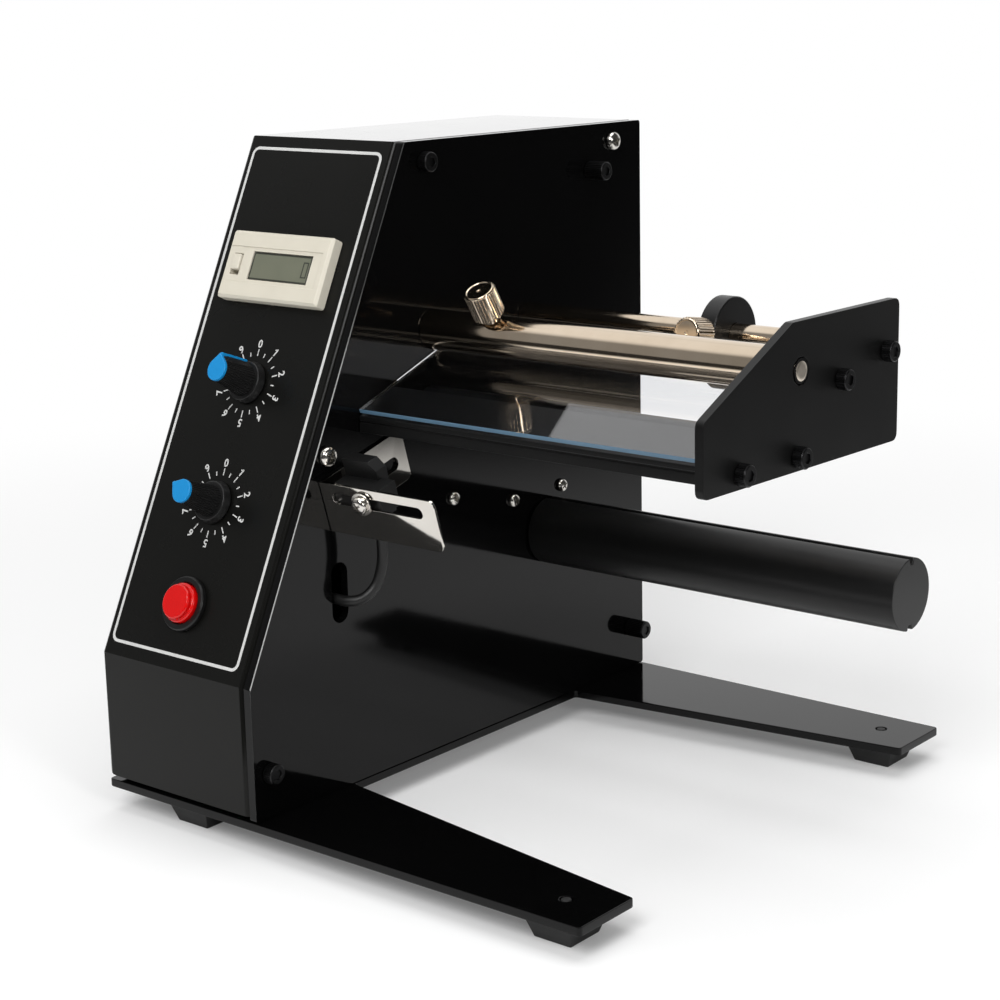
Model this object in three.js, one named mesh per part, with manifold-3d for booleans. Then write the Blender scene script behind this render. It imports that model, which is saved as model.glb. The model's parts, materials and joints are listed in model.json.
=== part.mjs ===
// Label dispenser: a bench machine that peels labels off their web and winds the web up.
// Millimetres, +Z up. X runs to the right from the housing to the outer plate, and Y runs
// from the front to the back. The origin is the centre of the footprint, on the table.

import * as THREE from 'three';
import { mergeVertices } from 'three/addons/utils/BufferGeometryUtils.js';
import Module from 'manifold-3d';

const wasm = await Module();
wasm.setup();

// Clearances and cutting
const seatGap = 0.3;
const runningGap = 0.1;
const overrun = 2;

// Sides of round forms
const roundSides = 18;
const smallSides = 10;
const wideSides = 28;
const holeSegments = 5;
const cornerSegments = 4;
const fineCornerSegments = 2;
const hexagonSides = 6;
const squareSides = 4;

// Base plate and its two legs
const baseThickness = 3;
const legReach = 133.8;
const frontLegRoot = 46.2;
const frontLegTip = 26.6;
const rearLegRoot = 44.2;
const rearLegTip = 27.8;
const baseCornerRadius = 1.5;

// Rubber feet
const footHeight = 8.2;
const footTopWidth = 19.5;
const footBottomWidth = 14;
const footStudDiameter = 3.5;
const footTipInset = 16;
const footFrontInset = 14;
const footRearInset = 13.5;
const footHousingInset = 34;

// Housing, over its outer faces
const housingDepth = 214;
const housingHeight = 216;
const topSetback = 81.3;
const foldHeight = 46;
const sidePlateThickness = 3;
const coverWidth = 70;
const coverWall = 1.5;
const coverFloorGap = 1.6;
const coverEdgeRadius = 2.2;
const coverCornerRadius = 3.5;
const sidePlateCornerRadius = 1.2;

// Bay between the side plate and the outer plate
const bayWidth = 146;
const outerPlateThickness = 3;
const outerPlateCornerRadius = 3;
const outerFrontY = 40.6;
const outerFrontLowZ = 121.1;
const outerFrontHighZ = 143.9;
const outerShoulderY = 88;
const outerTopZ = 167;
const outerRearY = 152;
const outerBottomZ = 120;

// Rods across the bay, by the height and depth of their axes
const holdDownY = 92.7;
const holdDownZ = 151.6;
const holdDownShaftDiameter = 8;
const holdDownTubeDiameter = 14;
const holdDownFlangeDiameter = 16;
const holdDownFlangeThickness = 2.5;
const holdDownPinProud = 0.5;
const guideY = 143.2;
const guideZ = 150.8;
const supportY = 115.4;
const supportZ = 145.8;
const thinRodDiameter = 8;
const tieY = 90.7;
const tieZ = 125.3;
const tieBarDiameter = 12;
const spigotDiameter = 6;
const spigotLength = 12;

// Hold-down sheet and the platform under it
const sheetAngle = THREE.MathUtils.degToRad(20.5);
const sheetThickness = 1.5;
const sheetFrontReach = 43.3;
const sheetTail = 6.5;
const webGap = 0.6;
const platformDepth = 17.4;
const platformLipHeight = 5.6;
const platformScrewY = 59.4;
const platformScrewZ = 125.7;
const platformGrooveDepth = 0.5;
const platformGrooveHeight = 0.7;
const platformGrooveRise = 3.3;

// Knurled thumbscrews
const thumbscrewHeadDiameter = 11;
const thumbscrewHeadLength = 13.1;
const thumbscrewNeckDiameter = 6.4;
const thumbscrewNeckLength = 2;
const thumbscrewStemDiameter = 4;
const thumbscrewKnurls = 20;
const knurlDepth = 0.35;
const thumbscrewEdge = 0.8;
const holdDownThumbscrewX = 30;
const holdDownThumbscrewLean = THREE.MathUtils.degToRad(31);
const guideThumbscrewHeadDiameter = 10;
const guideThumbscrewHeadLength = 8.7;
const guideThumbscrewTilt = THREE.MathUtils.degToRad(8.6);

// Guide disc and stop collar on the thin rods
const guideDiscDiameter = 26;
const guideDiscWidth = 6;
const guideDiscX = 85;
const guideDiscEdge = 0.8;
const collarDiameter = 17;
const collarWidth = 8;
const collarX = 102.5;

// Take-up spindle and its drive
const spindleY = 154.1;
const spindleZ = 67.8;
const spindleDiameter = 25;
const spindleLength = 153.6;
const spindleSideGap = 0.8;
const spindleGrooveWidth = 2.4;
const spindleGrooveDepth = 2;
const spindleEdge = 0.6;
const spindleGrooveTurn = THREE.MathUtils.degToRad(-10);
const spindleShaftDiameter = 10;
const spindleShaftSocket = 32;
const bearingDiameter = 16;
const bearingFlangeDiameter = 21;
const bearingFlangeThickness = 2;

// Gear pair, by the large wheel's pitch diameter and both wheels' teeth
const spindleGearDiameter = 48;
const spindleGearTeeth = 48;
const pinionTeeth = 16;
const gearWidth = 8;
const gearHubDiameter = 18;
const gearHubLength = 3;
const gearBacklash = 0.3;
const dedendumShare = 1.25;
const pressureAngle = THREE.MathUtils.degToRad(20);
const pinionBearingAngle = THREE.MathUtils.degToRad(160);
const motorDiameter = 36;
const motorBackGap = 3.6;
const motorBossDiameter = 12;
const motorBossLength = 2;
const motorShaftDiameter = 4;
const motorShaftDepth = 10;
const motorCapInset = 3;
const motorCapLength = 4;
const bracketWall = 3;
const bracketSpan = 24;
const bracketMargin = 4;
const bracketFrontMargin = 7;

// Sloped panel: places are a shift from the panel's middle and a distance up the slope from the fold
const counterShift = -0.25;
const counterUp = 139.9;
const counterWidth = 48;
const counterHeight = 24.4;
const counterProud = 5;
const counterEdge = 1;
const counterBodyWidth = 45;
const counterBodyHeight = 21.8;
const counterBodyDepth = 34;
const counterBandHeight = 12.8;
const counterBandDepth = 0.4;
const counterBandMargin = 3;
const displayWidth = 28.4;
const displayHeight = 10.2;
const displayThickness = 1;
const displayRecess = 0.4;
const displayShift = 2.4;
const resetWidth = 3.8;
const resetHeight = 7;
const resetProud = 0.6;
const resetDepth = 4;
const resetShift = -18.6;
const dialShift = -0.85;
const upperDialUp = 99.9;
const lowerDialUp = 57.6;
const upperKnobTurn = THREE.MathUtils.degToRad(18);
const lowerKnobTurn = THREE.MathUtils.degToRad(72);
const knobSkirtDiameter = 15;
const knobSkirtHeight = 2.4;
const knobBodyDiameter = 12.4;
const knobHeight = 15.2;
const knobLift = 0.8;
const knobFlutes = 20;
const knobFluteDepth = 0.35;
const knobNoseReach = 9;
const knobCapThickness = 1.2;
const knobCapStem = 2;
const knobCapStemDiameter = 5;
const knobSocketDepth = 9;
const potDiameter = 16.5;
const potDepth = 9;
const potBushDiameter = 7;
const potShaftDiameter = 6;
const potNutDiameter = 10.5;
const potNutHeight = 2;
const buttonShift = -1.05;
const buttonUp = 22.2;
const buttonBezelDiameter = 18.7;
const buttonBezelHeight = 2;
const buttonBarrelDiameter = 16;
const buttonBarrelLength = 22;
const buttonCapBaseDiameter = 13.6;
const buttonCapDiameter = 12;
const buttonStep = 3.7;
const buttonProud = 5.6;
const buttonStemLength = 8;
const buttonTravel = 2;
const buttonEdge = 0.5;

// Sensor on its angle bracket, and the lead through the side plate
const sensorTilt = THREE.MathUtils.degToRad(16);
const sensorY = 34.6;
const sensorZ = 108.5;
const bracketSheet = 1;
const bracketHeight = 18.3;
const frontWingLength = 50;
const rearWingLength = 40.6;
const wingCornerRadius = 2.5;
const frontSlotStart = 5;
const frontSlotEnd = 44.4;
const frontSlotWidth = 4;
const frontSlotDrop = 5.2;
const rearSlotStart = 8;
const rearSlotEnd = 36;
const rearSlotWidth = 4.8;
const rearSlotDrop = 10;
const rearScrewPlace = 22;
const sensorX = 5;
const sensorWidth = 14.5;
const sensorBack = 13;
const sensorFront = 8;
const sensorTop = 5.4;
const sensorBottom = 14;
const sensorFootWidth = 20;
const sensorFootHeight = 9;
const sensorChamfer = 3;
const sensorScrewX = 18.5;
const sensorScrewDiameter = 3;
const sensorScrewHeadDiameter = 6;
const sensorWasherDiameter = 8;
const sensorWasherThickness = 0.8;
const leadDiameter = 3.7;
const leadSides = 8;
const leadSteps = 36;
const cableSlotY = 42.7;
const cableSlotLowZ = 58.4;
const cableSlotHighZ = 79.4;
const cableSlotWidth = 7.7;

// Screws
const capScrewHeadDiameter = 7;
const capScrewHeadHeight = 4;
const capScrewShank = 4;
const capScrewSocket = 3.2;
const capScrewSocketDepth = 2;
const capScrewDepth = 9;
const longHeadHeight = 8.5;
const panScrewShank = 3;
const panScrewDepth = 7;
const bracketScrewHead = 3;
const coverScrewDiameter = 6.8;
const motorScrewDiameter = 4.8;
const panHeadShare = 0.36;
const panProfileShares = [[1, 0.5], [0.8, 0.85], [0.45, 1]];
const crossLengthShare = 0.55;
const crossWidthShare = 0.15;
const crossDepthShare = 0.5;
const topFrontScrewInset = 9.1;
const topFrontScrewDrop = 7.1;
const topRearScrewInset = 32;
const topRearScrewDrop = 16.7;
const lowFrontScrewInset = 6.8;
const lowFrontScrewRise = 16;
const lowRearScrewInset = 9;
const lowRearScrewRise = 17;
const coverScrewInset = 18;
const coverScrewDrop = 6.8;
const slopeScrewRise = 70.4;
const slopeScrewInset = 5.13;
const frontMotorScrewReach = 53.1;
const frontMotorScrewRise = 22.2;
const middleMotorScrewReach = 19.9;
const middleMotorScrewRise = 14.9;
const rearMotorScrewReach = 8.4;
const rearMotorScrewRise = 15.3;

// Circuit board and power inlet
const boardSideGap = 7;
const boardDepth = 70;
const boardThickness = 1.6;
const boardLift = 8;
const boardY = 16;
const boardPillarDiameter = 6;
const boardPillarInset = 5;
const boardPlugWidth = 12;
const inletInset = 21;
const inletZ = 26;
const inletFlangeDiameter = 13;
const inletFlangeThickness = 2;
const inletBarrelDiameter = 9;
const inletBarrelLength = 14;
const inletBoreDiameter = 6.4;
const inletBoreDepth = 10;
const inletPinDiameter = 2.1;

// Worked out from the sizes above
const sideInnerX = -sidePlateThickness;
const coverRightX = sideInnerX - seatGap;
const coverLeftX = coverRightX - coverWidth + seatGap;
const outerFaceX = bayWidth + outerPlateThickness;
const barEndX = bayWidth - seatGap;
const slopeRise = housingHeight - foldHeight;
const panelTurn = Math.atan2(slopeRise, topSetback);
const panelMiddleX = (coverLeftX + coverRightX) / 2;
const counterX = panelMiddleX + counterShift;
const dialX = panelMiddleX + dialShift;
const buttonX = panelMiddleX + buttonShift;
const gearModule = spindleGearDiameter / spindleGearTeeth;
const pitchDistance = gearModule * (spindleGearTeeth + pinionTeeth) / 2;
const pinionY = spindleY + pitchDistance * Math.cos(pinionBearingAngle);
const pinionZ = spindleZ + pitchDistance * Math.sin(pinionBearingAngle);
const standHeight = baseThickness + seatGap + footHeight;
const spindleTipX = spindleSideGap + spindleLength;
const inletX = coverLeftX + inletInset;
const inletProud = seatGap + inletFlangeThickness;
const boardX = coverLeftX + boardSideGap;
const boardWidth = sideInnerX - boardSideGap - boardX;

// Finishes
function finish(color, roughness, metalness, extra = {}) {
  return new THREE.MeshStandardMaterial({ color, roughness, metalness, ...extra });
}
const glossBlack = finish(0x0b0b0c, 0.12, 0.1);
const satinBlack = finish(0x161617, 0.45, 0.1);
const blackOxide = finish(0x141414, 0.35, 0.7);
const nickel = finish(0xc9c2b4, 0.22, 1);
const stainless = finish(0xcfccc4, 0.25, 1);
const steel = finish(0x9a9a98, 0.35, 1);
const bronze = finish(0xa87b45, 0.4, 1);
const blackRubber = finish(0x151515, 0.85, 0);
const creamPlastic = finish(0xded8c4, 0.4, 0);
const greyDisplay = finish(0x9ea18c, 0.3, 0);
const bluePlastic = finish(0x1e96e6, 0.35, 0);
const redPlastic = finish(0xe61414, 0.2, 0);
const clearSheet = finish(0xd8e4ee, 0.05, 0, { transparent: true, opacity: 0.35 });
const boardGreen = finish(0x1f6b3a, 0.5, 0);

// Solids for cutting and joining
const weld = 1e-4;

function toSolid(geometry) {
  const bare = geometry.clone();
  bare.deleteAttribute('normal');
  bare.deleteAttribute('uv');
  const merged = mergeVertices(bare, weld);
  const mesh = new wasm.Mesh({
    numProp: 3,
    vertProperties: new Float32Array(merged.attributes.position.array),
    triVerts: new Uint32Array(merged.index.array),
  });
  return new wasm.Manifold(mesh);
}

function toGeometry(solid) {
  const mesh = solid.getMesh();
  const geometry = new THREE.BufferGeometry();
  geometry.setAttribute('position', new THREE.BufferAttribute(new Float32Array(mesh.vertProperties), 3));
  geometry.setIndex(new THREE.BufferAttribute(new Uint32Array(mesh.triVerts), 1));
  geometry.computeVertexNormals();
  return geometry;
}

function join(first, ...others) {
  return toGeometry(others.reduce((solid, other) => solid.add(toSolid(other)), toSolid(first)));
}

function cut(body, ...tools) {
  return toGeometry(tools.reduce((solid, tool) => solid.subtract(toSolid(tool)), toSolid(body)));
}

function common(first, second) {
  return toGeometry(toSolid(first).intersect(toSolid(second)));
}

// Basic forms: along Z they stand on z = 0, along X they start at x = 0
const alongXFromZ = new THREE.Matrix4().makeBasis(
  new THREE.Vector3(0, 1, 0), new THREE.Vector3(0, 0, 1), new THREE.Vector3(1, 0, 0));

function pillar(diameter, length, sides = roundSides) {
  const geometry = new THREE.CylinderGeometry(diameter / 2, diameter / 2, length, sides);
  return geometry.rotateX(Math.PI / 2).translate(0, 0, length / 2);
}

function toX(geometry) {
  return geometry.applyMatrix4(alongXFromZ);
}

function rod(diameter, fromX, toEndX, y, z, sides = roundSides) {
  return toX(pillar(diameter, toEndX - fromX, sides)).translate(fromX, y, z);
}

function turned(profile, sides = roundSides) {
  const points = profile.map(([radius, along]) => new THREE.Vector2(radius, along));
  return new THREE.LatheGeometry(points, sides).rotateX(Math.PI / 2);
}

function extrude(shape, length, curveSegments = holeSegments) {
  return new THREE.ExtrudeGeometry(shape, { depth: length, bevelEnabled: false, curveSegments });
}

function block(lowX, highX, lowY, highY, lowZ, highZ) {
  const geometry = new THREE.BoxGeometry(highX - lowX, highY - lowY, highZ - lowZ);
  return geometry.translate((lowX + highX) / 2, (lowY + highY) / 2, (lowZ + highZ) / 2);
}

function withRoundCorners(corners, radius) {
  const points = corners.map(([x, y]) => new THREE.Vector2(x, y));
  const shape = new THREE.Shape();
  points.forEach((corner, i) => {
    const before = points[(i + points.length - 1) % points.length];
    const after = points[(i + 1) % points.length];
    const inward = before.clone().sub(corner);
    const outward = after.clone().sub(corner);
    const halfAngle = Math.abs(inward.angleTo(outward)) / 2;
    const setback = Math.min(radius / Math.tan(halfAngle), inward.length() / 2, outward.length() / 2);
    const start = corner.clone().add(inward.setLength(setback));
    const end = corner.clone().add(outward.setLength(setback));
    if (i === 0) shape.moveTo(start.x, start.y);
    else shape.lineTo(start.x, start.y);
    shape.quadraticCurveTo(corner.x, corner.y, end.x, end.y);
  });
  shape.closePath();
  return shape;
}

function rectangle(width, height, radius = 0) {
  const corners = [
    [-width / 2, -height / 2], [width / 2, -height / 2], [width / 2, height / 2], [-width / 2, height / 2],
  ];
  return radius > 0 ? withRoundCorners(corners, radius) : polygon(corners);
}

function polygon(corners) {
  return new THREE.Shape(corners.map(([x, y]) => new THREE.Vector2(x, y)));
}

// A round hole whose flats keep the full diameter clear
function roundHole(x, y, diameter, sides = smallSides) {
  const radius = diameter / 2 / Math.cos(Math.PI / sides);
  const points = Array.from({ length: sides }, (_, i) => {
    const angle = i * 2 * Math.PI / sides;
    return new THREE.Vector2(x + radius * Math.cos(angle), y + radius * Math.sin(angle));
  });
  return new THREE.Path(points);
}

function slot(width, fromCentre, toCentre) {
  const shape = new THREE.Shape();
  shape.absarc(fromCentre, 0, width / 2, Math.PI / 2, Math.PI * 3 / 2);
  shape.absarc(toCentre, 0, width / 2, -Math.PI / 2, Math.PI / 2);
  shape.closePath();
  return shape;
}

// Groups: the machine stands on its feet, the panel group lies in the sloped panel
const machine = new THREE.Group();
machine.position.set(-(coverLeftX + spindleTipX) / 2, -(housingDepth + inletProud) / 2, standHeight);

const panel = new THREE.Group();
panel.position.set(0, 0, foldHeight);
panel.rotation.x = panelTurn;
machine.add(panel);

function add(name, geometry, material, parent = machine) {
  const mesh = new THREE.Mesh(geometry, material);
  mesh.name = name;
  parent.add(mesh);
  return mesh;
}

function placed(parent, x, y, z) {
  const group = new THREE.Group();
  group.position.set(x, y, z);
  parent.add(group);
  return group;
}

// Feet, pushed through the base plate by a moulded stud
const footPlaces = {
  front_right: [legReach - footTipInset, footFrontInset],
  rear_right: [legReach - footTipInset, housingDepth - footRearInset],
  front_left: [coverLeftX + footHousingInset, footFrontInset],
  rear_left: [coverLeftX + footHousingInset, housingDepth - footRearInset],
};

function footGeometry() {
  const diagonal = Math.SQRT1_2;
  const body = new THREE.CylinderGeometry(
    footTopWidth * diagonal, footBottomWidth * diagonal, footHeight, squareSides);
  body.rotateY(Math.PI / 4).rotateX(Math.PI / 2);
  body.translate(0, 0, -baseThickness - seatGap - footHeight / 2);
  const studLength = baseThickness + seatGap + overrun;
  const stud = pillar(footStudDiameter, studLength, smallSides).translate(0, 0, -studLength);
  return join(body, stud);
}

for (const [place, [x, y]] of Object.entries(footPlaces)) {
  add(`foot_${place}`, footGeometry(), blackRubber).position.set(x, y, 0);
}

// Base plate: a housing floor with two tapering legs
function basePlateGeometry() {
  const outline = withRoundCorners([
    [coverLeftX, 0],
    [legReach, 0],
    [legReach, frontLegTip],
    [0, frontLegRoot],
    [0, housingDepth - rearLegRoot],
    [legReach, housingDepth - rearLegTip],
    [legReach, housingDepth],
    [coverLeftX, housingDepth],
  ], baseCornerRadius);
  for (const [x, y] of Object.values(footPlaces)) {
    outline.holes.push(roundHole(x, y, footStudDiameter + 2 * seatGap));
  }
  return extrude(outline, baseThickness, cornerSegments).translate(0, 0, -baseThickness);
}
add('base_plate', basePlateGeometry(), glossBlack);

// Side outline of the housing, drawn in depth and height, drawn in by a wall
function sideOutline(lowZ, wall) {
  const lean = Math.atan2(topSetback, slopeRise);
  const foldShift = wall * Math.tan(lean / 2);
  const topShift = wall * Math.tan((Math.PI / 2 - lean) / 2);
  return [
    [wall, lowZ],
    [housingDepth - wall, lowZ],
    [housingDepth - wall, housingHeight - wall],
    [topSetback + topShift, housingHeight - wall],
    [wall, foldHeight - foldShift],
  ];
}

// Places in the side plate, as depth and height
const capScrewPlaces = {
  top_front: [topSetback + topFrontScrewInset, housingHeight - topFrontScrewDrop, capScrewHeadHeight],
  top_rear: [housingDepth - topRearScrewInset, housingHeight - topRearScrewDrop, longHeadHeight],
  bottom_front: [lowFrontScrewInset, lowFrontScrewRise, capScrewHeadHeight],
  bottom_rear: [housingDepth - lowRearScrewInset, lowRearScrewRise, longHeadHeight],
};
const coverScrewPlaces = {
  top: [housingDepth - coverScrewInset, housingHeight - coverScrewDrop],
  front: [topSetback * slopeScrewRise / slopeRise + slopeScrewInset, foldHeight + slopeScrewRise],
};
const motorScrewPlaces = {
  front: [spindleY - frontMotorScrewReach, spindleZ + frontMotorScrewRise],
  middle: [spindleY - middleMotorScrewReach, spindleZ + middleMotorScrewRise],
  rear: [spindleY + rearMotorScrewReach, spindleZ + rearMotorScrewRise],
};
const tiltAlong = Math.cos(sensorTilt);
const tiltRise = Math.sin(sensorTilt);
const sensorBackScrewY = sensorY + rearScrewPlace * tiltAlong + rearSlotDrop * tiltRise;
const sensorBackScrewZ = sensorZ + rearScrewPlace * tiltRise - rearSlotDrop * tiltAlong;

// Cover: one folded shell with front, slope, top, back and left wall
function coverGeometry() {
  const outside = polygon(sideOutline(-coverEdgeRadius - overrun, 0));
  const body = new THREE.ExtrudeGeometry(outside, {
    depth: coverWidth - seatGap - 2 * coverEdgeRadius,
    bevelEnabled: true,
    bevelThickness: coverEdgeRadius,
    bevelSize: coverEdgeRadius,
    bevelOffset: -coverEdgeRadius,
    bevelSegments: cornerSegments,
  });
  toX(body).translate(coverLeftX + coverEdgeRadius, 0, 0);
  const farX = coverRightX + coverCornerRadius + overrun;
  const farZ = housingHeight + coverCornerRadius + overrun;
  const frontOutline = withRoundCorners([
    [coverLeftX, coverFloorGap], [farX, coverFloorGap], [farX, farZ], [coverLeftX, farZ],
  ], coverCornerRadius);
  const frontPrism = extrude(frontOutline, housingDepth + 2 * overrun).rotateX(Math.PI / 2)
    .translate(0, housingDepth + overrun, 0);
  const inside = polygon(sideOutline(coverFloorGap - overrun, coverWall));
  const hollow = toX(extrude(inside, coverWidth)).translate(coverLeftX + coverWall, 0, 0);
  const panelMatrix = new THREE.Matrix4().makeRotationX(panelTurn).setPosition(0, 0, foldHeight);
  const throughPanel = coverWall + 2 * overrun;
  const panelCut = (geometry, x, up) => (
    geometry.translate(x, up, -coverWall - overrun).applyMatrix4(panelMatrix));
  const counterHole = rectangle(counterBodyWidth + 2 * seatGap, counterBodyHeight + 2 * seatGap);
  const counterCut = extrude(counterHole, throughPanel);
  const dialHole = potBushDiameter + 2 * seatGap;
  const buttonHole = buttonBarrelDiameter + 2 * seatGap;
  const inletHole = pillar(inletBarrelDiameter + 2 * seatGap, throughPanel).rotateX(Math.PI / 2);
  return cut(
    common(body, frontPrism),
    hollow,
    panelCut(counterCut, counterX, counterUp),
    panelCut(pillar(dialHole, throughPanel), dialX, upperDialUp),
    panelCut(pillar(dialHole, throughPanel), dialX, lowerDialUp),
    panelCut(pillar(buttonHole, throughPanel), buttonX, buttonUp),
    inletHole.translate(inletX, housingDepth + overrun, inletZ),
  );
}
add('housing_cover', coverGeometry(), satinBlack);

// Side plate: carries the rods, the spindle bearing and the sensor
function sidePlateGeometry() {
  const outline = withRoundCorners(sideOutline(seatGap, 0), sidePlateCornerRadius);
  const round = (y, z, diameter, sides) => {
    outline.holes.push(roundHole(y, z, diameter + 2 * seatGap, sides));
  };
  round(holdDownY, holdDownZ, holdDownShaftDiameter);
  round(guideY, guideZ, spigotDiameter);
  round(supportY, supportZ, spigotDiameter);
  round(tieY, tieZ, spigotDiameter);
  round(platformScrewY, platformScrewZ, capScrewShank);
  round(spindleY, spindleZ, bearingDiameter, roundSides);
  round(sensorBackScrewY, sensorBackScrewZ, panScrewShank);
  Object.values(capScrewPlaces).forEach(([y, z]) => round(y, z, capScrewShank));
  Object.values(coverScrewPlaces).forEach(([y, z]) => round(y, z, panScrewShank));
  Object.values(motorScrewPlaces).forEach(([y, z]) => round(y, z, panScrewShank));
  const cable = new THREE.Path();
  const halfSlot = cableSlotWidth / 2;
  cable.absarc(cableSlotY, cableSlotHighZ - halfSlot, halfSlot, 0, Math.PI);
  cable.absarc(cableSlotY, cableSlotLowZ + halfSlot, halfSlot, Math.PI, Math.PI * 2);
  cable.closePath();
  outline.holes.push(cable);
  return toX(extrude(outline, sidePlateThickness)).translate(sideInnerX, 0, 0);
}
add('side_plate', sidePlateGeometry(), glossBlack);

// Outer plate: closes the bay and takes the rods' ends
const outerScrewPlaces = {
  support: [supportY, supportZ],
  guide: [guideY, guideZ],
  tie: [tieY, tieZ],
  platform: [platformScrewY, platformScrewZ],
};

function outerPlateGeometry() {
  const outline = withRoundCorners([
    [outerFrontY, outerFrontLowZ],
    [outerRearY, outerBottomZ],
    [outerRearY, outerTopZ],
    [outerShoulderY, outerTopZ],
    [outerFrontY, outerFrontHighZ],
  ], outerPlateCornerRadius);
  const places = [...Object.values(outerScrewPlaces).map((place) => [...place, capScrewShank]),
    [holdDownY, holdDownZ, holdDownShaftDiameter]];
  places.forEach(([y, z, diameter]) => outline.holes.push(roundHole(y, z, diameter + 2 * seatGap)));
  return toX(extrude(outline, outerPlateThickness)).translate(bayWidth, 0, 0);
}
add('outer_plate', outerPlateGeometry(), satinBlack);

// Hexagon socket cap screw, head outward, with its shank behind it
function capScrewGeometry(headHeight, depth) {
  const profile = [
    [0, -depth],
    [capScrewShank / 2, -depth],
    [capScrewShank / 2, seatGap],
    [capScrewHeadDiameter / 2, seatGap],
    [capScrewHeadDiameter / 2, headHeight - seatGap],
    [capScrewHeadDiameter / 2 - seatGap, headHeight],
    [0, headHeight],
  ];
  const socket = pillar(capScrewSocket, capScrewSocketDepth + overrun, hexagonSides);
  return toX(cut(turned(profile, smallSides), socket.translate(0, 0, headHeight - capScrewSocketDepth)));
}

for (const [place, [y, z]] of Object.entries(outerScrewPlaces)) {
  const screw = capScrewGeometry(capScrewHeadHeight, outerPlateThickness + capScrewDepth);
  add(`outer_plate_screw_${place}`, screw, blackOxide).position.set(outerFaceX, y, z);
}
for (const [place, [y, z, headHeight]] of Object.entries(capScrewPlaces)) {
  const screw = capScrewGeometry(headHeight, sidePlateThickness + capScrewDepth);
  add(`side_plate_screw_${place}`, screw, blackOxide).position.set(0, y, z);
}

// Cross recess of a pan head that stands on z = baseZ
function crossRecess(headDiameter, headHeight, baseZ) {
  const arm = rectangle(headDiameter * crossLengthShare, headDiameter * crossWidthShare);
  const bar = extrude(arm, headHeight).translate(0, 0, baseZ + headHeight * (1 - crossDepthShare));
  return [bar, bar.clone().rotateZ(Math.PI / 2)];
}

// Pan head screw with a cross recess
function panScrewGeometry(headDiameter, depth) {
  const radius = headDiameter / 2;
  const headHeight = headDiameter * panHeadShare;
  const profile = [
    [0, -depth],
    [panScrewShank / 2, -depth],
    [panScrewShank / 2, seatGap],
    [radius, seatGap],
    ...panProfileShares.map(([out, up]) => [radius * out, seatGap + headHeight * up]),
    [0, seatGap + headHeight],
  ];
  return toX(cut(turned(profile, smallSides), ...crossRecess(headDiameter, headHeight, seatGap)));
}

const panScrewLength = sidePlateThickness + panScrewDepth;
for (const [place, [y, z]] of Object.entries(coverScrewPlaces)) {
  const screw = panScrewGeometry(coverScrewDiameter, panScrewLength);
  add(`cover_screw_${place}`, screw, nickel).position.set(0, y, z);
}
for (const [place, [y, z]] of Object.entries(motorScrewPlaces)) {
  const screw = panScrewGeometry(motorScrewDiameter, panScrewLength);
  add(`motor_screw_${place}`, screw, nickel).position.set(0, y, z);
}

// Rods and bars across the bay: a spigot in the side plate, a tapped end at the outer plate
const tappedDepth = capScrewDepth + overrun;

function bayRodGeometry(diameter) {
  const profile = [
    [0, -spigotLength],
    [spigotDiameter / 2, -spigotLength],
    [spigotDiameter / 2, seatGap],
    [diameter / 2, seatGap],
    [diameter / 2, barEndX],
    [capScrewShank / 2 + seatGap, barEndX],
    [capScrewShank / 2 + seatGap, barEndX - tappedDepth],
    [0, barEndX - tappedDepth],
  ];
  return toX(turned(profile));
}
add('guide_rod', bayRodGeometry(thinRodDiameter), nickel).position.set(0, guideY, guideZ);
add('support_rod', bayRodGeometry(thinRodDiameter), nickel).position.set(0, supportY, supportZ);
add('tie_bar', bayRodGeometry(tieBarDiameter), satinBlack).position.set(0, tieY, tieZ);

// Platform bar: the label web runs over its sloped top and turns back at the front edge
function platformBarGeometry() {
  const slope = Math.tan(sheetAngle);
  const tubeRadius = holdDownTubeDiameter / 2;
  const tangentY = holdDownY + (tubeRadius + seatGap) * Math.sin(sheetAngle);
  const tangentZ = holdDownZ - (tubeRadius + seatGap) * Math.cos(sheetAngle);
  const frontY = tangentY - sheetFrontReach * Math.cos(sheetAngle);
  const sheetAndWeb = (sheetThickness + webGap) / Math.cos(sheetAngle);
  const frontZ = tangentZ - sheetFrontReach * Math.sin(sheetAngle) - sheetAndWeb;
  const lowZ = frontZ - platformLipHeight;
  const grooveZ = lowZ + platformGrooveRise;
  const outline = polygon([
    [frontY, lowZ],
    [frontY + platformDepth, lowZ],
    [frontY + platformDepth, frontZ + platformDepth * slope],
    [frontY, frontZ],
    [frontY, grooveZ + platformGrooveHeight],
    [frontY + platformGrooveDepth, grooveZ + platformGrooveHeight],
    [frontY + platformGrooveDepth, grooveZ],
    [frontY, grooveZ],
  ]);
  const bar = toX(extrude(outline, barEndX - seatGap)).translate(seatGap, 0, 0);
  const tapped = capScrewShank + 2 * seatGap;
  const hole = rod(
    tapped, barEndX - tappedDepth, barEndX + overrun, platformScrewY, platformScrewZ, smallSides);
  return cut(bar, hole);
}
add('platform_bar', platformBarGeometry(), satinBlack);

// Hold-down shaft: fixed in both plates, its end shows in the outer plate
const holdDownShaftProfile = [
  [0, sideInnerX - seatGap - holdDownFlangeThickness],
  [holdDownFlangeDiameter / 2, sideInnerX - seatGap - holdDownFlangeThickness],
  [holdDownFlangeDiameter / 2, sideInnerX - seatGap],
  [holdDownShaftDiameter / 2, sideInnerX - seatGap],
  [holdDownShaftDiameter / 2, outerFaceX + holdDownPinProud],
  [0, outerFaceX + holdDownPinProud],
];
add('hold_down_shaft', toX(turned(holdDownShaftProfile)), nickel).position.set(0, holdDownY, holdDownZ);

// Hold-down flap: the tube turns on its shaft and carries the clear sheet
const flap = placed(machine, 0, holdDownY, holdDownZ);

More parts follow.
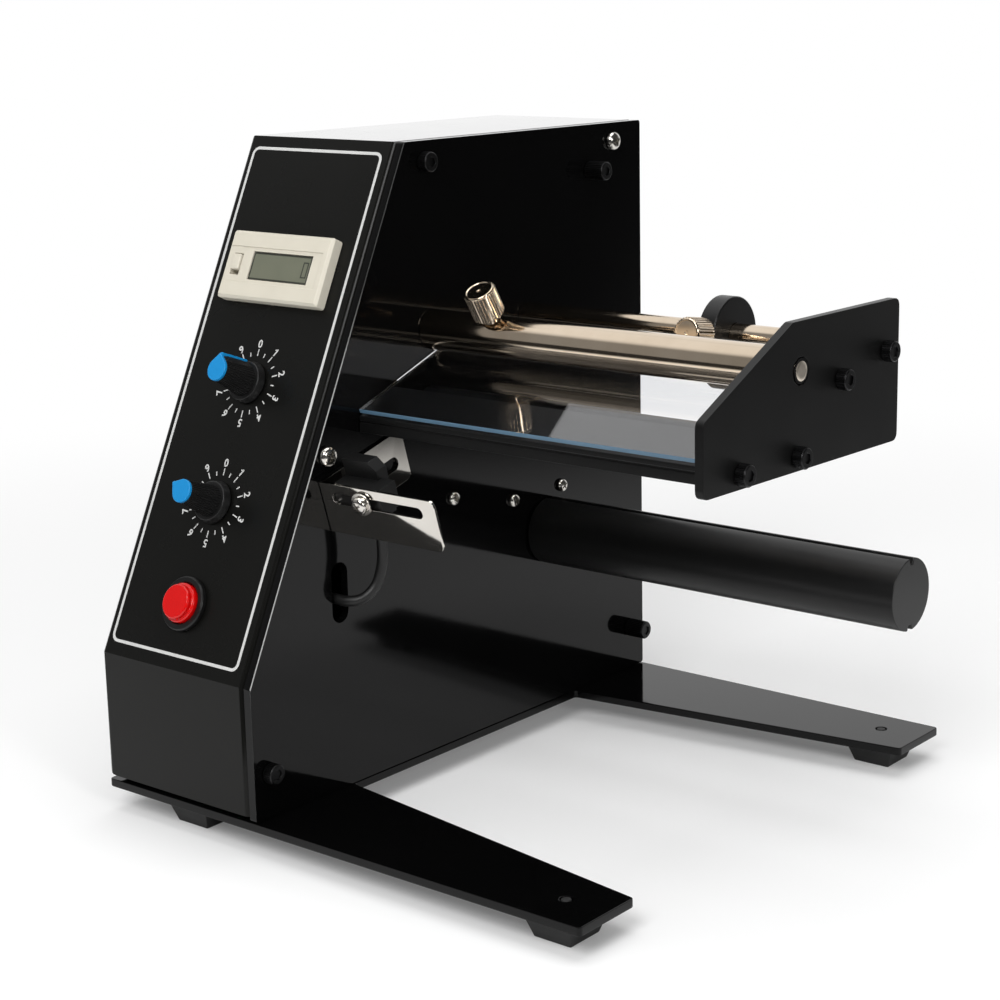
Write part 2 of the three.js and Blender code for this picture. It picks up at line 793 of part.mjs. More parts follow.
function holdDownTubeGeometry() {
  const boreRadius = holdDownShaftDiameter / 2 + runningGap;
  const tubeRadius = holdDownTubeDiameter / 2;
  const profile = [
    [boreRadius, seatGap],
    [tubeRadius, seatGap],
    [tubeRadius, barEndX],
    [boreRadius, barEndX],
    [boreRadius, seatGap],
  ];
  const tapped = pillar(thumbscrewStemDiameter + 2 * seatGap, tubeRadius + overrun, smallSides);
  tapped.rotateX(holdDownThumbscrewLean).translate(holdDownThumbscrewX, 0, 0);
  return cut(toX(turned(profile, wideSides)), tapped);
}
add('hold_down_tube', holdDownTubeGeometry(), nickel, flap);

const sheetFrame = placed(flap, 0, 0, 0);
sheetFrame.rotation.x = sheetAngle;
const sheetTopZ = -holdDownTubeDiameter / 2 - seatGap;
const sheetGeometry = block(
  seatGap, barEndX, -sheetFrontReach, sheetTail, sheetTopZ - sheetThickness, sheetTopZ);
add('hold_down_sheet', sheetGeometry, clearSheet, sheetFrame);

// Knurled thumbscrew: stands along Z, the origin is where its neck meets the seat
function thumbscrewGeometry(headDiameter, headLength, neckLength, stemLength) {
  const radius = headDiameter / 2;
  const neckTop = seatGap + neckLength;
  const top = neckTop + headLength;
  const profile = [
    [0, -stemLength],
    [thumbscrewStemDiameter / 2, -stemLength],
    [thumbscrewStemDiameter / 2, seatGap],
    [thumbscrewNeckDiameter / 2, seatGap],
    [thumbscrewNeckDiameter / 2, neckTop],
    [radius - thumbscrewEdge, neckTop],
    [radius, neckTop + thumbscrewEdge],
    [radius, top - thumbscrewEdge],
    [radius - thumbscrewEdge, top],
    [0, top],
  ];
  const flutes = new THREE.Shape();
  for (let i = 0; i < thumbscrewKnurls * 2; i += 1) {
    const angle = i * Math.PI / thumbscrewKnurls;
    const reach = i % 2 ? radius - knurlDepth : radius + knurlDepth;
    const draw = i ? 'lineTo' : 'moveTo';
    flutes[draw](reach * Math.cos(angle), reach * Math.sin(angle));
  }
  const knurled = extrude(flutes, headLength - 2 * thumbscrewEdge)
    .translate(0, 0, neckTop + thumbscrewEdge);
  const core = turned(profile);
  return join(core, knurled);
}

const tubeScrewFrame = placed(flap, holdDownThumbscrewX, 0, 0);
tubeScrewFrame.rotation.x = holdDownThumbscrewLean;
const tubeScrewStem = holdDownTubeDiameter / 2 - holdDownShaftDiameter / 2 - runningGap - seatGap;
const tubeScrew = thumbscrewGeometry(
  thumbscrewHeadDiameter, thumbscrewHeadLength, thumbscrewNeckLength, tubeScrewStem);
add('hold_down_thumbscrew', tubeScrew, nickel, tubeScrewFrame)
  .position.set(0, 0, holdDownTubeDiameter / 2);

// Guide disc: slides on the rear rod and is locked by its thumbscrew
const guideFrame = placed(machine, guideDiscX + guideDiscWidth / 2, guideY, guideZ);

function guideDiscGeometry() {
  const radius = guideDiscDiameter / 2;
  const boreRadius = thinRodDiameter / 2 + runningGap;
  const half = guideDiscWidth / 2;
  const profile = [
    [boreRadius, -half],
    [radius - guideDiscEdge, -half],
    [radius, guideDiscEdge - half],
    [radius, half - guideDiscEdge],
    [radius - guideDiscEdge, half],
    [boreRadius, half],
    [boreRadius, -half],
  ];
  const tapped = pillar(thumbscrewStemDiameter + 2 * seatGap, radius + overrun, smallSides);
  tapped.rotateX(Math.PI / 2 - guideThumbscrewTilt);
  return cut(toX(turned(profile, wideSides)), tapped);
}
add('guide_disc', guideDiscGeometry(), satinBlack, guideFrame);

const guideScrewFrame = placed(guideFrame, 0, 0, 0);
guideScrewFrame.rotation.x = Math.PI / 2 - guideThumbscrewTilt;
const guideScrewStem = guideDiscDiameter / 2 - thinRodDiameter / 2 - runningGap - seatGap;
const guideScrew = thumbscrewGeometry(
  guideThumbscrewHeadDiameter, guideThumbscrewHeadLength, thumbscrewNeckLength, guideScrewStem);
add('guide_thumbscrew', guideScrew, nickel, guideScrewFrame).position.set(0, 0, guideDiscDiameter / 2);

// Stop collar on the support rod
function collarGeometry() {
  const boreRadius = thinRodDiameter / 2 + runningGap;
  const radius = collarDiameter / 2;
  const profile = [
    [boreRadius, 0],
    [radius - guideDiscEdge, 0],
    [radius, guideDiscEdge],
    [radius, collarWidth - guideDiscEdge],
    [radius - guideDiscEdge, collarWidth],
    [boreRadius, collarWidth],
    [boreRadius, 0],
  ];
  return toX(turned(profile));
}
add('stop_collar', collarGeometry(), satinBlack).position.set(collarX, supportY, supportZ);

// Take-up spindle with two grooves for the clip that holds the web
const spindle = placed(machine, 0, spindleY, spindleZ);

function spindleGeometry() {
  const radius = spindleDiameter / 2;
  const socketRadius = spindleShaftDiameter / 2 + seatGap;
  const profile = [
    [socketRadius, spindleSideGap],
    [radius, spindleSideGap],
    [radius, spindleTipX - spindleEdge],
    [radius - spindleEdge, spindleTipX],
    [0, spindleTipX],
    [0, spindleSideGap + spindleShaftSocket],
    [socketRadius, spindleSideGap + spindleShaftSocket],
    [socketRadius, spindleSideGap],
  ];
  const lowCut = radius - spindleGrooveDepth;
  const half = spindleGrooveWidth / 2;
  const grooveTop = block(0, spindleTipX + overrun, -half, half, lowCut, radius + overrun);
  const grooveBottom = block(0, spindleTipX + overrun, -half, half, -radius - overrun, -lowCut);
  return cut(toX(turned(profile, wideSides)), grooveTop, grooveBottom);
}
add('take_up_spindle', spindleGeometry(), satinBlack, spindle).rotation.x = spindleGrooveTurn;

// Drive: a channel bracket behind the side plate holds the motor and the gears
const bracketRightX = sideInnerX - bearingFlangeThickness - 2 * seatGap;
const bracketLeftX = bracketRightX - bracketSpan - 2 * bracketWall;
const gearRightX = bracketRightX - bracketWall - (bracketSpan - gearWidth) / 2;
const gearOuterRadius = gearModule * (spindleGearTeeth + 2) / 2;
const spindleShaftLeftX = bracketLeftX - overrun;
const spindleShaftRightX = spindleSideGap + spindleShaftSocket - seatGap;

add('spindle_shaft', rod(
  spindleShaftDiameter, spindleShaftLeftX, spindleShaftRightX, 0, 0), steel, spindle);

function bearingGeometry() {
  const boreRadius = spindleShaftDiameter / 2 + runningGap;
  const profile = [
    [boreRadius, sideInnerX - seatGap - bearingFlangeThickness],
    [bearingFlangeDiameter / 2, sideInnerX - seatGap - bearingFlangeThickness],
    [bearingFlangeDiameter / 2, sideInnerX - seatGap],
    [bearingDiameter / 2, sideInnerX - seatGap],
    [bearingDiameter / 2, 0],
    [boreRadius, 0],
    [boreRadius, sideInnerX - seatGap - bearingFlangeThickness],
  ];
  return toX(turned(profile));
}
add('spindle_bearing', bearingGeometry(), bronze, placed(machine, 0, spindleY, spindleZ));

// Involute gear wheel, drawn around its axis with one tooth centred on the first axis
function gearShape(teeth, boreRadius = 0) {
  const pitchRadius = gearModule * teeth / 2;
  const baseRadius = pitchRadius * Math.cos(pressureAngle);
  const tipRadius = pitchRadius + gearModule;
  const rootRadius = pitchRadius - gearModule * dedendumShare;
  const involute = (radius) => {
    const turn = Math.sqrt(Math.max(0, (radius / baseRadius) ** 2 - 1));
    return turn - Math.atan(turn);
  };
  const halfTooth = Math.PI / (2 * teeth) - gearBacklash / (2 * pitchRadius);
  const halfAngle = (radius) => halfTooth + involute(pitchRadius) - involute(Math.max(radius, baseRadius));
  const footRadii = baseRadius > rootRadius ? [rootRadius, baseRadius] : [rootRadius];
  const flankRadii = [...footRadii, tipRadius];
  const points = [];
  for (let tooth = 0; tooth < teeth; tooth += 1) {
    const centre = tooth * 2 * Math.PI / teeth;
    flankRadii.forEach((radius) => points.push([radius, centre - halfAngle(radius)]));
    [...flankRadii].reverse().forEach((radius) => points.push([radius, centre + halfAngle(radius)]));
  }
  const shape = new THREE.Shape(points.map(([radius, angle]) => (
    new THREE.Vector2(radius * Math.cos(angle), radius * Math.sin(angle)))));
  if (boreRadius > 0) shape.holes.push(roundHole(0, 0, 2 * boreRadius, roundSides));
  return shape;
}

function spindleGearGeometry() {
  const boreRadius = spindleShaftDiameter / 2 + seatGap;
  const wheel = extrude(gearShape(spindleGearTeeth, boreRadius), gearWidth);
  const hub = pillar(gearHubDiameter, gearWidth + gearHubLength);
  const bore = pillar(2 * boreRadius, gearWidth + gearHubLength + 2 * overrun).translate(0, 0, -overrun);
  const ring = cut(hub, bore);
  return toX(join(wheel, ring)).translate(gearRightX - gearWidth, 0, 0);
}
const meshAngle = pinionBearingAngle;
add('spindle_gear', spindleGearGeometry(), steel, spindle).rotation.x = meshAngle;

// The pinion turns on its own axis, half a tooth off the wheel's tooth
const pinion = placed(machine, 0, pinionY, pinionZ);

function pinionGeometry() {
  const wheel = extrude(gearShape(pinionTeeth), gearWidth);
  toX(wheel).translate(gearRightX - gearWidth, 0, 0);
  const shaft = rod(
    motorShaftDiameter, bracketLeftX - motorBossLength - motorShaftDepth, gearRightX, 0, 0, smallSides);
  return join(wheel, shaft);
}
const halfPinionTooth = Math.PI / pinionTeeth;
add('motor_pinion', pinionGeometry(), steel, pinion).rotation.x = meshAngle + Math.PI + halfPinionTooth;

function motorGeometry() {
  const front = bracketLeftX - seatGap;
  const motorLength = front - motorCapLength - motorBackGap - coverLeftX - coverWall;
  const boss = rod(motorBossDiameter, front - overrun, bracketLeftX + bracketWall - seatGap, 0, 0);
  const can = rod(motorDiameter, front - motorLength, front, 0, 0, wideSides);
  const capDiameter = motorDiameter - 2 * motorCapInset;
  const cap = rod(capDiameter, front - motorLength - motorCapLength, front - motorLength + overrun, 0, 0);
  const boreDiameter = motorShaftDiameter + 2 * seatGap;
  const boreEnd = front - motorShaftDepth - overrun;
  const bore = rod(boreDiameter, boreEnd, bracketLeftX + bracketWall + overrun, 0, 0, smallSides);
  return cut(join(can, boss, cap), bore);
}
add('gear_motor', motorGeometry(), steel, placed(machine, 0, pinionY, pinionZ));

function motorBracketGeometry() {
  const frontY = motorScrewPlaces.front[0] - bracketFrontMargin;
  const lowZ = spindleZ - gearOuterRadius - bracketWall - bracketMargin;
  const innerHighZ = Math.max(spindleZ + gearOuterRadius, pinionZ + motorDiameter / 2);
  const highZ = innerHighZ + bracketWall + bracketMargin;
  const rearY = spindleY + gearOuterRadius + bracketMargin;
  const body = block(bracketLeftX, bracketRightX, frontY, rearY, lowZ, highZ);
  const channel = block(
    bracketLeftX + bracketWall, bracketRightX - bracketWall,
    frontY - overrun, rearY + overrun, lowZ + bracketWall, highZ - bracketWall);
  const through = bracketLeftX - overrun;
  const shaftHole = rod(
    spindleShaftDiameter + 2 * runningGap, through, bracketRightX + overrun, spindleY, spindleZ);
  const bossHole = rod(
    motorBossDiameter + 2 * seatGap, through, bracketLeftX + bracketWall + overrun, pinionY, pinionZ);
  const flangeFrom = bracketRightX - bracketWall - overrun;
  const screwHoles = Object.values(motorScrewPlaces).map(([y, z]) => (
    rod(panScrewShank + 2 * seatGap, flangeFrom, bracketRightX + overrun, y, z, smallSides)));
  return cut(body, channel, shaftHole, bossHole, ...screwHoles);
}
add('motor_bracket', motorBracketGeometry(), steel);

// Counter: a snap-in instrument with a display and a reset slide
const counter = placed(panel, counterX, counterUp, 0);

function counterHousingGeometry() {
  const frontDepth = counterProud - seatGap;
  const front = new THREE.ExtrudeGeometry(rectangle(counterWidth, counterHeight, counterEdge), {
    depth: frontDepth - counterEdge,
    bevelEnabled: true,
    bevelThickness: counterEdge,
    bevelSize: counterEdge,
    bevelOffset: -counterEdge,
    bevelSegments: 1,
    curveSegments: fineCornerSegments,
  });
  front.translate(0, 0, seatGap);
  const flatBack = block(
    -counterWidth, counterWidth, -counterHeight, counterHeight, -counterEdge - overrun, seatGap);
  const body = extrude(rectangle(counterBodyWidth, counterBodyHeight), counterBodyDepth + seatGap + overrun)
    .translate(0, 0, -counterBodyDepth);
  const bandFloor = counterProud - counterBandDepth;
  const bandRight = counterWidth / 2 - counterBandMargin;
  const band = block(
    -counterWidth / 2 - overrun, bandRight, -counterBandHeight / 2, counterBandHeight / 2,
    bandFloor, counterProud + overrun);
  const displayPocket = block(
    displayShift - displayWidth / 2, displayShift + displayWidth / 2, -displayHeight / 2, displayHeight / 2,
    bandFloor - displayRecess - displayThickness - seatGap, counterProud + overrun);
  const resetPocket = block(
    resetShift - resetWidth / 2 - seatGap, resetShift + resetWidth / 2 + seatGap,
    -resetHeight / 2 - seatGap, resetHeight / 2 + seatGap,
    bandFloor - resetDepth, counterProud + overrun);
  const shell = cut(front, flatBack);
  return cut(join(shell, body), band, displayPocket, resetPocket);
}
add('counter_housing', counterHousingGeometry(), creamPlastic, counter);

const displayTopZ = counterProud - counterBandDepth - displayRecess;
add('counter_display', block(
  displayShift - displayWidth / 2 + seatGap, displayShift + displayWidth / 2 - seatGap,
  -displayHeight / 2 + seatGap, displayHeight / 2 - seatGap,
  displayTopZ - displayThickness, displayTopZ), greyDisplay, counter);

const resetTopZ = counterProud - counterBandDepth + resetProud;
const resetBaseZ = counterProud - counterBandDepth - resetDepth + resetProud + seatGap;
add('counter_reset_button', block(
  resetShift - resetWidth / 2, resetShift + resetWidth / 2,
  -resetHeight / 2, resetHeight / 2, resetBaseZ, resetTopZ), creamPlastic, counter);

// Dials: a potentiometer behind the panel, its shaft, and a pointer knob with a cap
function potentiometerGeometry() {
  const shaftRadius = potShaftDiameter / 2 + runningGap;
  const backZ = -coverWall - seatGap - potDepth;
  const nutTop = seatGap + potNutHeight;
  const bushTop = nutTop + seatGap;
  const floorZ = backZ + potDepth / 2;
  const profile = [
    [0, backZ],
    [potDiameter / 2, backZ],
    [potDiameter / 2, -coverWall - seatGap],
    [potBushDiameter / 2, -coverWall - seatGap],
    [potBushDiameter / 2, seatGap],
    [potNutDiameter / 2, seatGap],
    [potNutDiameter / 2, nutTop],
    [potBushDiameter / 2, nutTop],
    [potBushDiameter / 2, bushTop],
    [shaftRadius, bushTop],
    [shaftRadius, floorZ],
    [0, floorZ],
  ];
  return turned(profile);
}

function teardrop(radius, reach, flutes, depth) {
  const tangent = Math.acos(radius / reach);
  const start = Math.PI / 2 + tangent;
  const sweep = 2 * Math.PI - 2 * tangent;
  const shape = new THREE.Shape();
  shape.moveTo(0, reach);
  const steps = flutes * 2;
  for (let i = 0; i <= steps; i += 1) {
    const angle = start + sweep * i / steps;
    const ribbed = i % 2 ? radius - depth : radius;
    shape.lineTo(ribbed * Math.cos(angle), ribbed * Math.sin(angle));
  }
  shape.closePath();
  return shape;
}

function knobGeometry() {
  const skirt = turned([
    [0, knobLift],
    [knobSkirtDiameter / 2, knobLift],
    [knobSkirtDiameter / 2, knobLift + knobSkirtHeight / 2],
    [knobBodyDiameter / 2 + knobFluteDepth, knobLift + knobSkirtHeight],
    [0, knobLift + knobSkirtHeight],
  ]);
  const bodyTop = knobHeight - seatGap;
  const outline = teardrop(knobBodyDiameter / 2, knobNoseReach, knobFlutes, knobFluteDepth);
  const body = extrude(outline, bodyTop - knobLift - knobSkirtHeight / 2)
    .translate(0, 0, knobLift + knobSkirtHeight / 2);
  const nutSpace = pillar(potNutDiameter + 2 * seatGap, potNutHeight + 3 * seatGap + knobLift);
  const shaftHole = pillar(potShaftDiameter + 2 * seatGap, knobLift + knobSocketDepth + seatGap);
  const capHole = pillar(knobCapStemDiameter + 2 * seatGap, knobCapStem + overrun, smallSides);
  return cut(
    join(skirt, body),
    nutSpace.translate(0, 0, -seatGap),
    shaftHole,
    capHole.translate(0, 0, bodyTop - knobCapStem - seatGap),
  );
}

function knobCapGeometry() {
  const plate = extrude(teardrop(knobBodyDiameter / 2, knobNoseReach, knobFlutes, 0), knobCapThickness)
    .translate(0, 0, knobHeight);
  const stem = pillar(knobCapStemDiameter, knobCapStem + knobCapThickness, smallSides)
    .translate(0, 0, knobHeight - knobCapStem);
  return join(plate, stem);
}

const dialPlaces = [['upper', upperDialUp, upperKnobTurn], ['lower', lowerDialUp, lowerKnobTurn]];
for (const [place, up, turn] of dialPlaces) {
  const dial = placed(panel, dialX, up, 0);
  add(`${place}_potentiometer`, potentiometerGeometry(), steel, dial);
  const turning = placed(dial, 0, 0, 0);
  turning.rotation.z = turn;
  const shaftLow = -coverWall - potDepth / 2;
  const shaftHigh = knobLift + knobSocketDepth - seatGap;
  const shaft = pillar(potShaftDiameter, shaftHigh - shaftLow).translate(0, 0, shaftLow);
  add(`${place}_potentiometer_shaft`, shaft, steel, turning);
  add(`${place}_knob`, knobGeometry(), satinBlack, turning);
  add(`${place}_knob_cap`, knobCapGeometry(), bluePlastic, turning);
}

// Push button: a bezel with its barrel through the panel, and a stepped cap
const button = placed(panel, buttonX, buttonUp, 0);

function buttonBezelGeometry() {
  const boreRadius = buttonCapBaseDiameter / 2 + seatGap;
  const top = seatGap + buttonBezelHeight;
  const floorZ = -buttonStemLength - buttonTravel - 2 * seatGap;
  const profile = [
    [0, -buttonBarrelLength],
    [buttonBarrelDiameter / 2, -buttonBarrelLength],
    [buttonBarrelDiameter / 2, seatGap],
    [buttonBezelDiameter / 2, seatGap],
    [buttonBezelDiameter / 2, top - buttonEdge],
    [buttonBezelDiameter / 2 - buttonEdge, top],
    [boreRadius, top],
    [boreRadius, floorZ],
    [0, floorZ],
  ];
  return turned(profile, wideSides);
}
add('button_bezel', buttonBezelGeometry(), satinBlack, button);

const buttonCapProfile = [
  [0, -buttonStemLength],
  [buttonCapBaseDiameter / 2, -buttonStemLength],
  [buttonCapBaseDiameter / 2, buttonStep - buttonEdge],
  [buttonCapBaseDiameter / 2 - buttonEdge, buttonStep],
  [buttonCapDiameter / 2, buttonStep],
  [buttonCapDiameter / 2, buttonProud - buttonEdge],
  [buttonCapDiameter / 2 - buttonEdge, buttonProud],
  [0, buttonProud],
];
add('button_cap', turned(buttonCapProfile, wideSides), redPlastic, button);

// Sensor head: the frame's Y runs back along the bracket, its Z runs up across it
const sensorHead = placed(machine, 0, sensorY, sensorZ);
sensorHead.rotation.x = sensorTilt;

function sensorBracketGeometry() {
  const frontShape = withRoundCorners([
    [seatGap, -bracketHeight], [frontWingLength, -bracketHeight], [frontWingLength, 0], [seatGap, 0],
  ], wingCornerRadius);
  const squareRoot = block(
    seatGap, wingCornerRadius * 2, 0, bracketSheet, -bracketHeight, 0);
  const front = extrude(frontShape, bracketSheet, cornerSegments).rotateX(Math.PI / 2)
    .translate(0, bracketSheet, 0);
  const rearShape = withRoundCorners([
    [0, -bracketHeight], [rearWingLength, -bracketHeight], [rearWingLength, 0], [0, 0],
  ], wingCornerRadius);
  const rear = toX(extrude(rearShape, bracketSheet, cornerSegments)).translate(seatGap, 0, 0);
  const rearRoot = block(
    seatGap, seatGap + bracketSheet, 0, wingCornerRadius * 2, -bracketHeight, 0);
  const frontSlot = extrude(
    slot(frontSlotWidth, frontSlotStart + frontSlotWidth / 2, frontSlotEnd - frontSlotWidth / 2),
    bracketSheet + 2 * overrun);
  frontSlot.rotateX(Math.PI / 2).translate(0, bracketSheet + overrun, -frontSlotDrop);
  const rearSlot = extrude(
    slot(rearSlotWidth, rearSlotStart + rearSlotWidth / 2, rearSlotEnd - rearSlotWidth / 2),
    bracketSheet + 2 * overrun);
  toX(rearSlot).translate(seatGap - overrun, 0, -rearSlotDrop);
  return cut(join(front, squareRoot, rear, rearRoot), frontSlot, rearSlot);
}
add('sensor_bracket', sensorBracketGeometry(), stainless, sensorHead);

function sensorGeometry() {
  const left = sensorX;
  const right = sensorX + sensorWidth;
  const bodyShape = polygon([
    [left, -sensorBottom],
    [right, -sensorBottom],
    [right, sensorTop - sensorChamfer],
    [right - sensorChamfer, sensorTop],
    [left, sensorTop],
  ]);
  const body = extrude(bodyShape, sensorBack - sensorFront).rotateX(Math.PI / 2)
    .translate(0, sensorBack, 0);
  const foot = block(
    left, left + sensorFootWidth, bracketSheet + seatGap, sensorFront + overrun,
    -frontSlotDrop - sensorFootHeight / 2, -frontSlotDrop + sensorFootHeight / 2);
  const holeDiameter = sensorScrewDiameter + 2 * seatGap;
  const hole = pillar(holeDiameter, sensorFront, smallSides).rotateX(-Math.PI / 2)
    .translate(sensorScrewX, 0, -frontSlotDrop);
  return cut(join(body, foot), hole);
}
add('sensor', sensorGeometry(), satinBlack, sensorHead);

function sensorScrewGeometry() {
  const headHeight = sensorScrewHeadDiameter * panHeadShare;
  const washerTop = seatGap + sensorWasherThickness;
  const radius = sensorScrewHeadDiameter / 2;
  const stem = sensorFront - seatGap;
  const profile = [
    [0, -stem],
    [sensorScrewDiameter / 2, -stem],
    [sensorScrewDiameter / 2, seatGap],
    [sensorWasherDiameter / 2, seatGap],
    [sensorWasherDiameter / 2, washerTop],
    [radius, washerTop],
    ...panProfileShares.map(([out, up]) => [radius * out, washerTop + headHeight * up]),
    [0, washerTop + headHeight],
  ];
  const cross = crossRecess(sensorScrewHeadDiameter, headHeight, washerTop);
  return cut(turned(profile), ...cross).rotateX(Math.PI / 2);
}
add('sensor_screw', sensorScrewGeometry(), nickel, sensorHead)
  .position.set(sensorScrewX, 0, -frontSlotDrop);

const bracketScrewFrame = placed(machine, 0, sensorBackScrewY, sensorBackScrewZ);
const bracketScrewProfile = [
  [0, -sidePlateThickness - panScrewDepth],
  [panScrewShank / 2, -sidePlateThickness - panScrewDepth],
  [panScrewShank / 2, 2 * seatGap + bracketSheet],
  [capScrewHeadDiameter / 2, 2 * seatGap + bracketSheet],
  [capScrewHeadDiameter / 2, 2 * seatGap + bracketSheet + bracketScrewHead],
  [0, 2 * seatGap + bracketSheet + bracketScrewHead],
];
add('sensor_bracket_screw', toX(turned(bracketScrewProfile)), blackOxide, bracketScrewFrame);

// Sensor lead: from under the sensor, down the side plate, through the slot to the board
const leadRoute = [
  [12.2, 48.7, 97.3],
  [12.2, 50.1, 92.4],
  [12, 51.3, 86],
  [11.6, 51.4, 79],
  [10.6, 49.4, 72],
  [8, 45.6, 67.6],
  [3, 42.9, 66.4],
  [-6, 42.7, 66],
  [-14, 43, 60],
  [-17, 43.5, 48],
  [-17, 44, 34],
];

function leadGeometry() {
  const points = leadRoute.map(([x, y, z]) => new THREE.Vector3(x, y, z));
  const path = new THREE.CatmullRomCurve3(points, false, 'centripetal');
  const section = new THREE.Shape();
  for (let i = 0; i < leadSides; i += 1) {
    const angle = i * 2 * Math.PI / leadSides;
    const draw = i ? 'lineTo' : 'moveTo';
    section[draw](leadDiameter / 2 * Math.cos(angle), leadDiameter / 2 * Math.sin(angle));
  }
  section.closePath();
  return new THREE.ExtrudeGeometry(section, { steps: leadSteps, extrudePath: path, bevelEnabled: false });
}
add('sensor_lead', leadGeometry(), blackRubber);

// Circuit board on four pillars, with the plug that takes the sensor lead
function boardGeometry() {
  const board = block(
    boardX, boardX + boardWidth, boardY, boardY + boardDepth, boardLift, boardLift + boardThickness);
  const left = boardX + boardPillarInset;
  const right = boardX + boardWidth - boardPillarInset;
  const near = boardY + boardPillarInset;
  const far = boardY + boardDepth - boardPillarInset;
  const pillarLength = boardLift - seatGap + boardThickness / 2;
  const pillars = [[left, near], [right, near], [left, far], [right, far]].map(([x, y]) => (
    pillar(boardPillarDiameter, pillarLength, smallSides).translate(x, y, seatGap)));
  const [plugX, plugY, plugTopZ] = leadRoute[leadRoute.length - 1];
  const half = boardPlugWidth / 2;
  const plug = block(
    plugX - half, plugX + half, plugY - half, plugY + half,
    boardLift + boardThickness / 2, plugTopZ - seatGap);
  return join(board, ...pillars, plug);
}
add('control_board', boardGeometry(), boardGreen);

// Power inlet in the back wall
function inletGeometry() {
  const flangeTop = inletProud;
  const profile = [
    [0, -inletBarrelLength],
    [inletBarrelDiameter / 2, -inletBarrelLength],
    [inletBarrelDiameter / 2, seatGap],
    [inletFlangeDiameter / 2, seatGap],
    [inletFlangeDiameter / 2, flangeTop],
    [inletBoreDiameter / 2, flangeTop],
    [inletBoreDiameter / 2, flangeTop - inletBoreDepth],
    [inletPinDiameter / 2, flangeTop - inletBoreDepth],
    [inletPinDiameter / 2, flangeTop - overrun],
    [0, flangeTop - overrun],
  ];
  return turned(profile).rotateX(-Math.PI / 2);
}
add('power_inlet', inletGeometry(), satinBlack).position.set(inletX, housingDepth, inletZ);

export default machine;
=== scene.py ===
# Label dispenser machine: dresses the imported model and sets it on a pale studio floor.
# Sizes are in millimetres in the machine's own frame, and mm turns them into metres.

import json
import math

import bmesh
import bpy
from mathutils import Matrix, Vector


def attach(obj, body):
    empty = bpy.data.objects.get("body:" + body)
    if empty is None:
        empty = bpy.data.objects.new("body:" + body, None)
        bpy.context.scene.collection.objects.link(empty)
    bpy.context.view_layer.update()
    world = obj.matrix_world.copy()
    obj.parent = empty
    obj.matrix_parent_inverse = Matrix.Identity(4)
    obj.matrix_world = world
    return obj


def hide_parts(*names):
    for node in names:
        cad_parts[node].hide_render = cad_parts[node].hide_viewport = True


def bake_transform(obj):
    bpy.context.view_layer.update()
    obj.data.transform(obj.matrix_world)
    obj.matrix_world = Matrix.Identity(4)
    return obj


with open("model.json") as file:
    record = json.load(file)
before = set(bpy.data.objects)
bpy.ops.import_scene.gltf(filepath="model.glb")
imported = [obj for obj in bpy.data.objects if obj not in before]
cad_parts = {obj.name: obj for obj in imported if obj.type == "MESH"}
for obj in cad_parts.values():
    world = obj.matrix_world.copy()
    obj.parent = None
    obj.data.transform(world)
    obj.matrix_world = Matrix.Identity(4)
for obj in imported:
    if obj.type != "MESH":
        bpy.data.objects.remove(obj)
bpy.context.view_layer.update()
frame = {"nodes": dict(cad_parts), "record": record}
record = frame["record"]
mm = 0.001

body_of_node = {
    node: body for body, nodes in record["behaviour"]["bodies"].items() for node in nodes}
slot_of_node = {row["node"]: row["material_slot"] for row in record["subparts"]}

# Where the machine's own origin lies: side plate's outer face, front edge, top of the base plate
machine_origin = Vector((-40.7, -108.15, 11.5))


def place(x, y, z, tilt=0.0):
    """A place in the machine's frame, tilted about X."""
    shift = Matrix.Translation((machine_origin + Vector((x, y, z))) * mm)
    return shift @ Matrix.Rotation(tilt, 4, "X")


# Lays a piece that was modelled along Z along the machine's X
along_x = Matrix(((0, 0, 1, 0), (1, 0, 0, 0), (0, 1, 0, 0), (0, 0, 0, 1)))

fold_height = 46
slope_rise, slope_run = 170, 81.3
panel = place(0, 0, fold_height, math.atan2(slope_rise, slope_run))
slope_normal = panel.to_3x3() @ Vector((0, 0, 1))


def on_panel(x, up, out=0.0, spin=0.0):
    """A place on the sloped panel, from its fold, with Z pointing out of it and spun about Z."""
    shift = Matrix.Translation(Vector((x, up, out)) * mm)
    return panel @ shift @ Matrix.Rotation(spin, 4, "Z")


# Camera

camera_place = machine_origin + Vector((490.6, -454.9, 266.2))
camera_yaw = math.radians(38.151)
camera_pitch = math.radians(13.002)
camera_roll = math.radians(-0.757)
focal_share = 2.151
frame_shift = (-0.0724, -0.0179)
sensor_mm = 36


def add_camera():
    forward = Vector((
        -math.sin(camera_yaw) * math.cos(camera_pitch),
        math.cos(camera_yaw) * math.cos(camera_pitch),
        -math.sin(camera_pitch)))
    level_right = Vector((math.cos(camera_yaw), math.sin(camera_yaw), 0))
    level_up = level_right.cross(forward)
    right = level_right * math.cos(camera_roll) + level_up * math.sin(camera_roll)
    up = level_up * math.cos(camera_roll) - level_right * math.sin(camera_roll)
    bpy.ops.object.camera_add()
    camera = bpy.context.object
    turn = Matrix((right, up, -forward)).transposed().to_4x4()
    camera.matrix_world = Matrix.Translation(camera_place * mm) @ turn
    camera.data.sensor_width = sensor_mm
    camera.data.lens = focal_share * sensor_mm
    camera.data.shift_x, camera.data.shift_y = frame_shift
    camera.data.clip_start, camera.data.clip_end = 0.01, 50
    bpy.context.scene.camera = camera


add_camera()


# Finishes: sums on a link add their own nodes

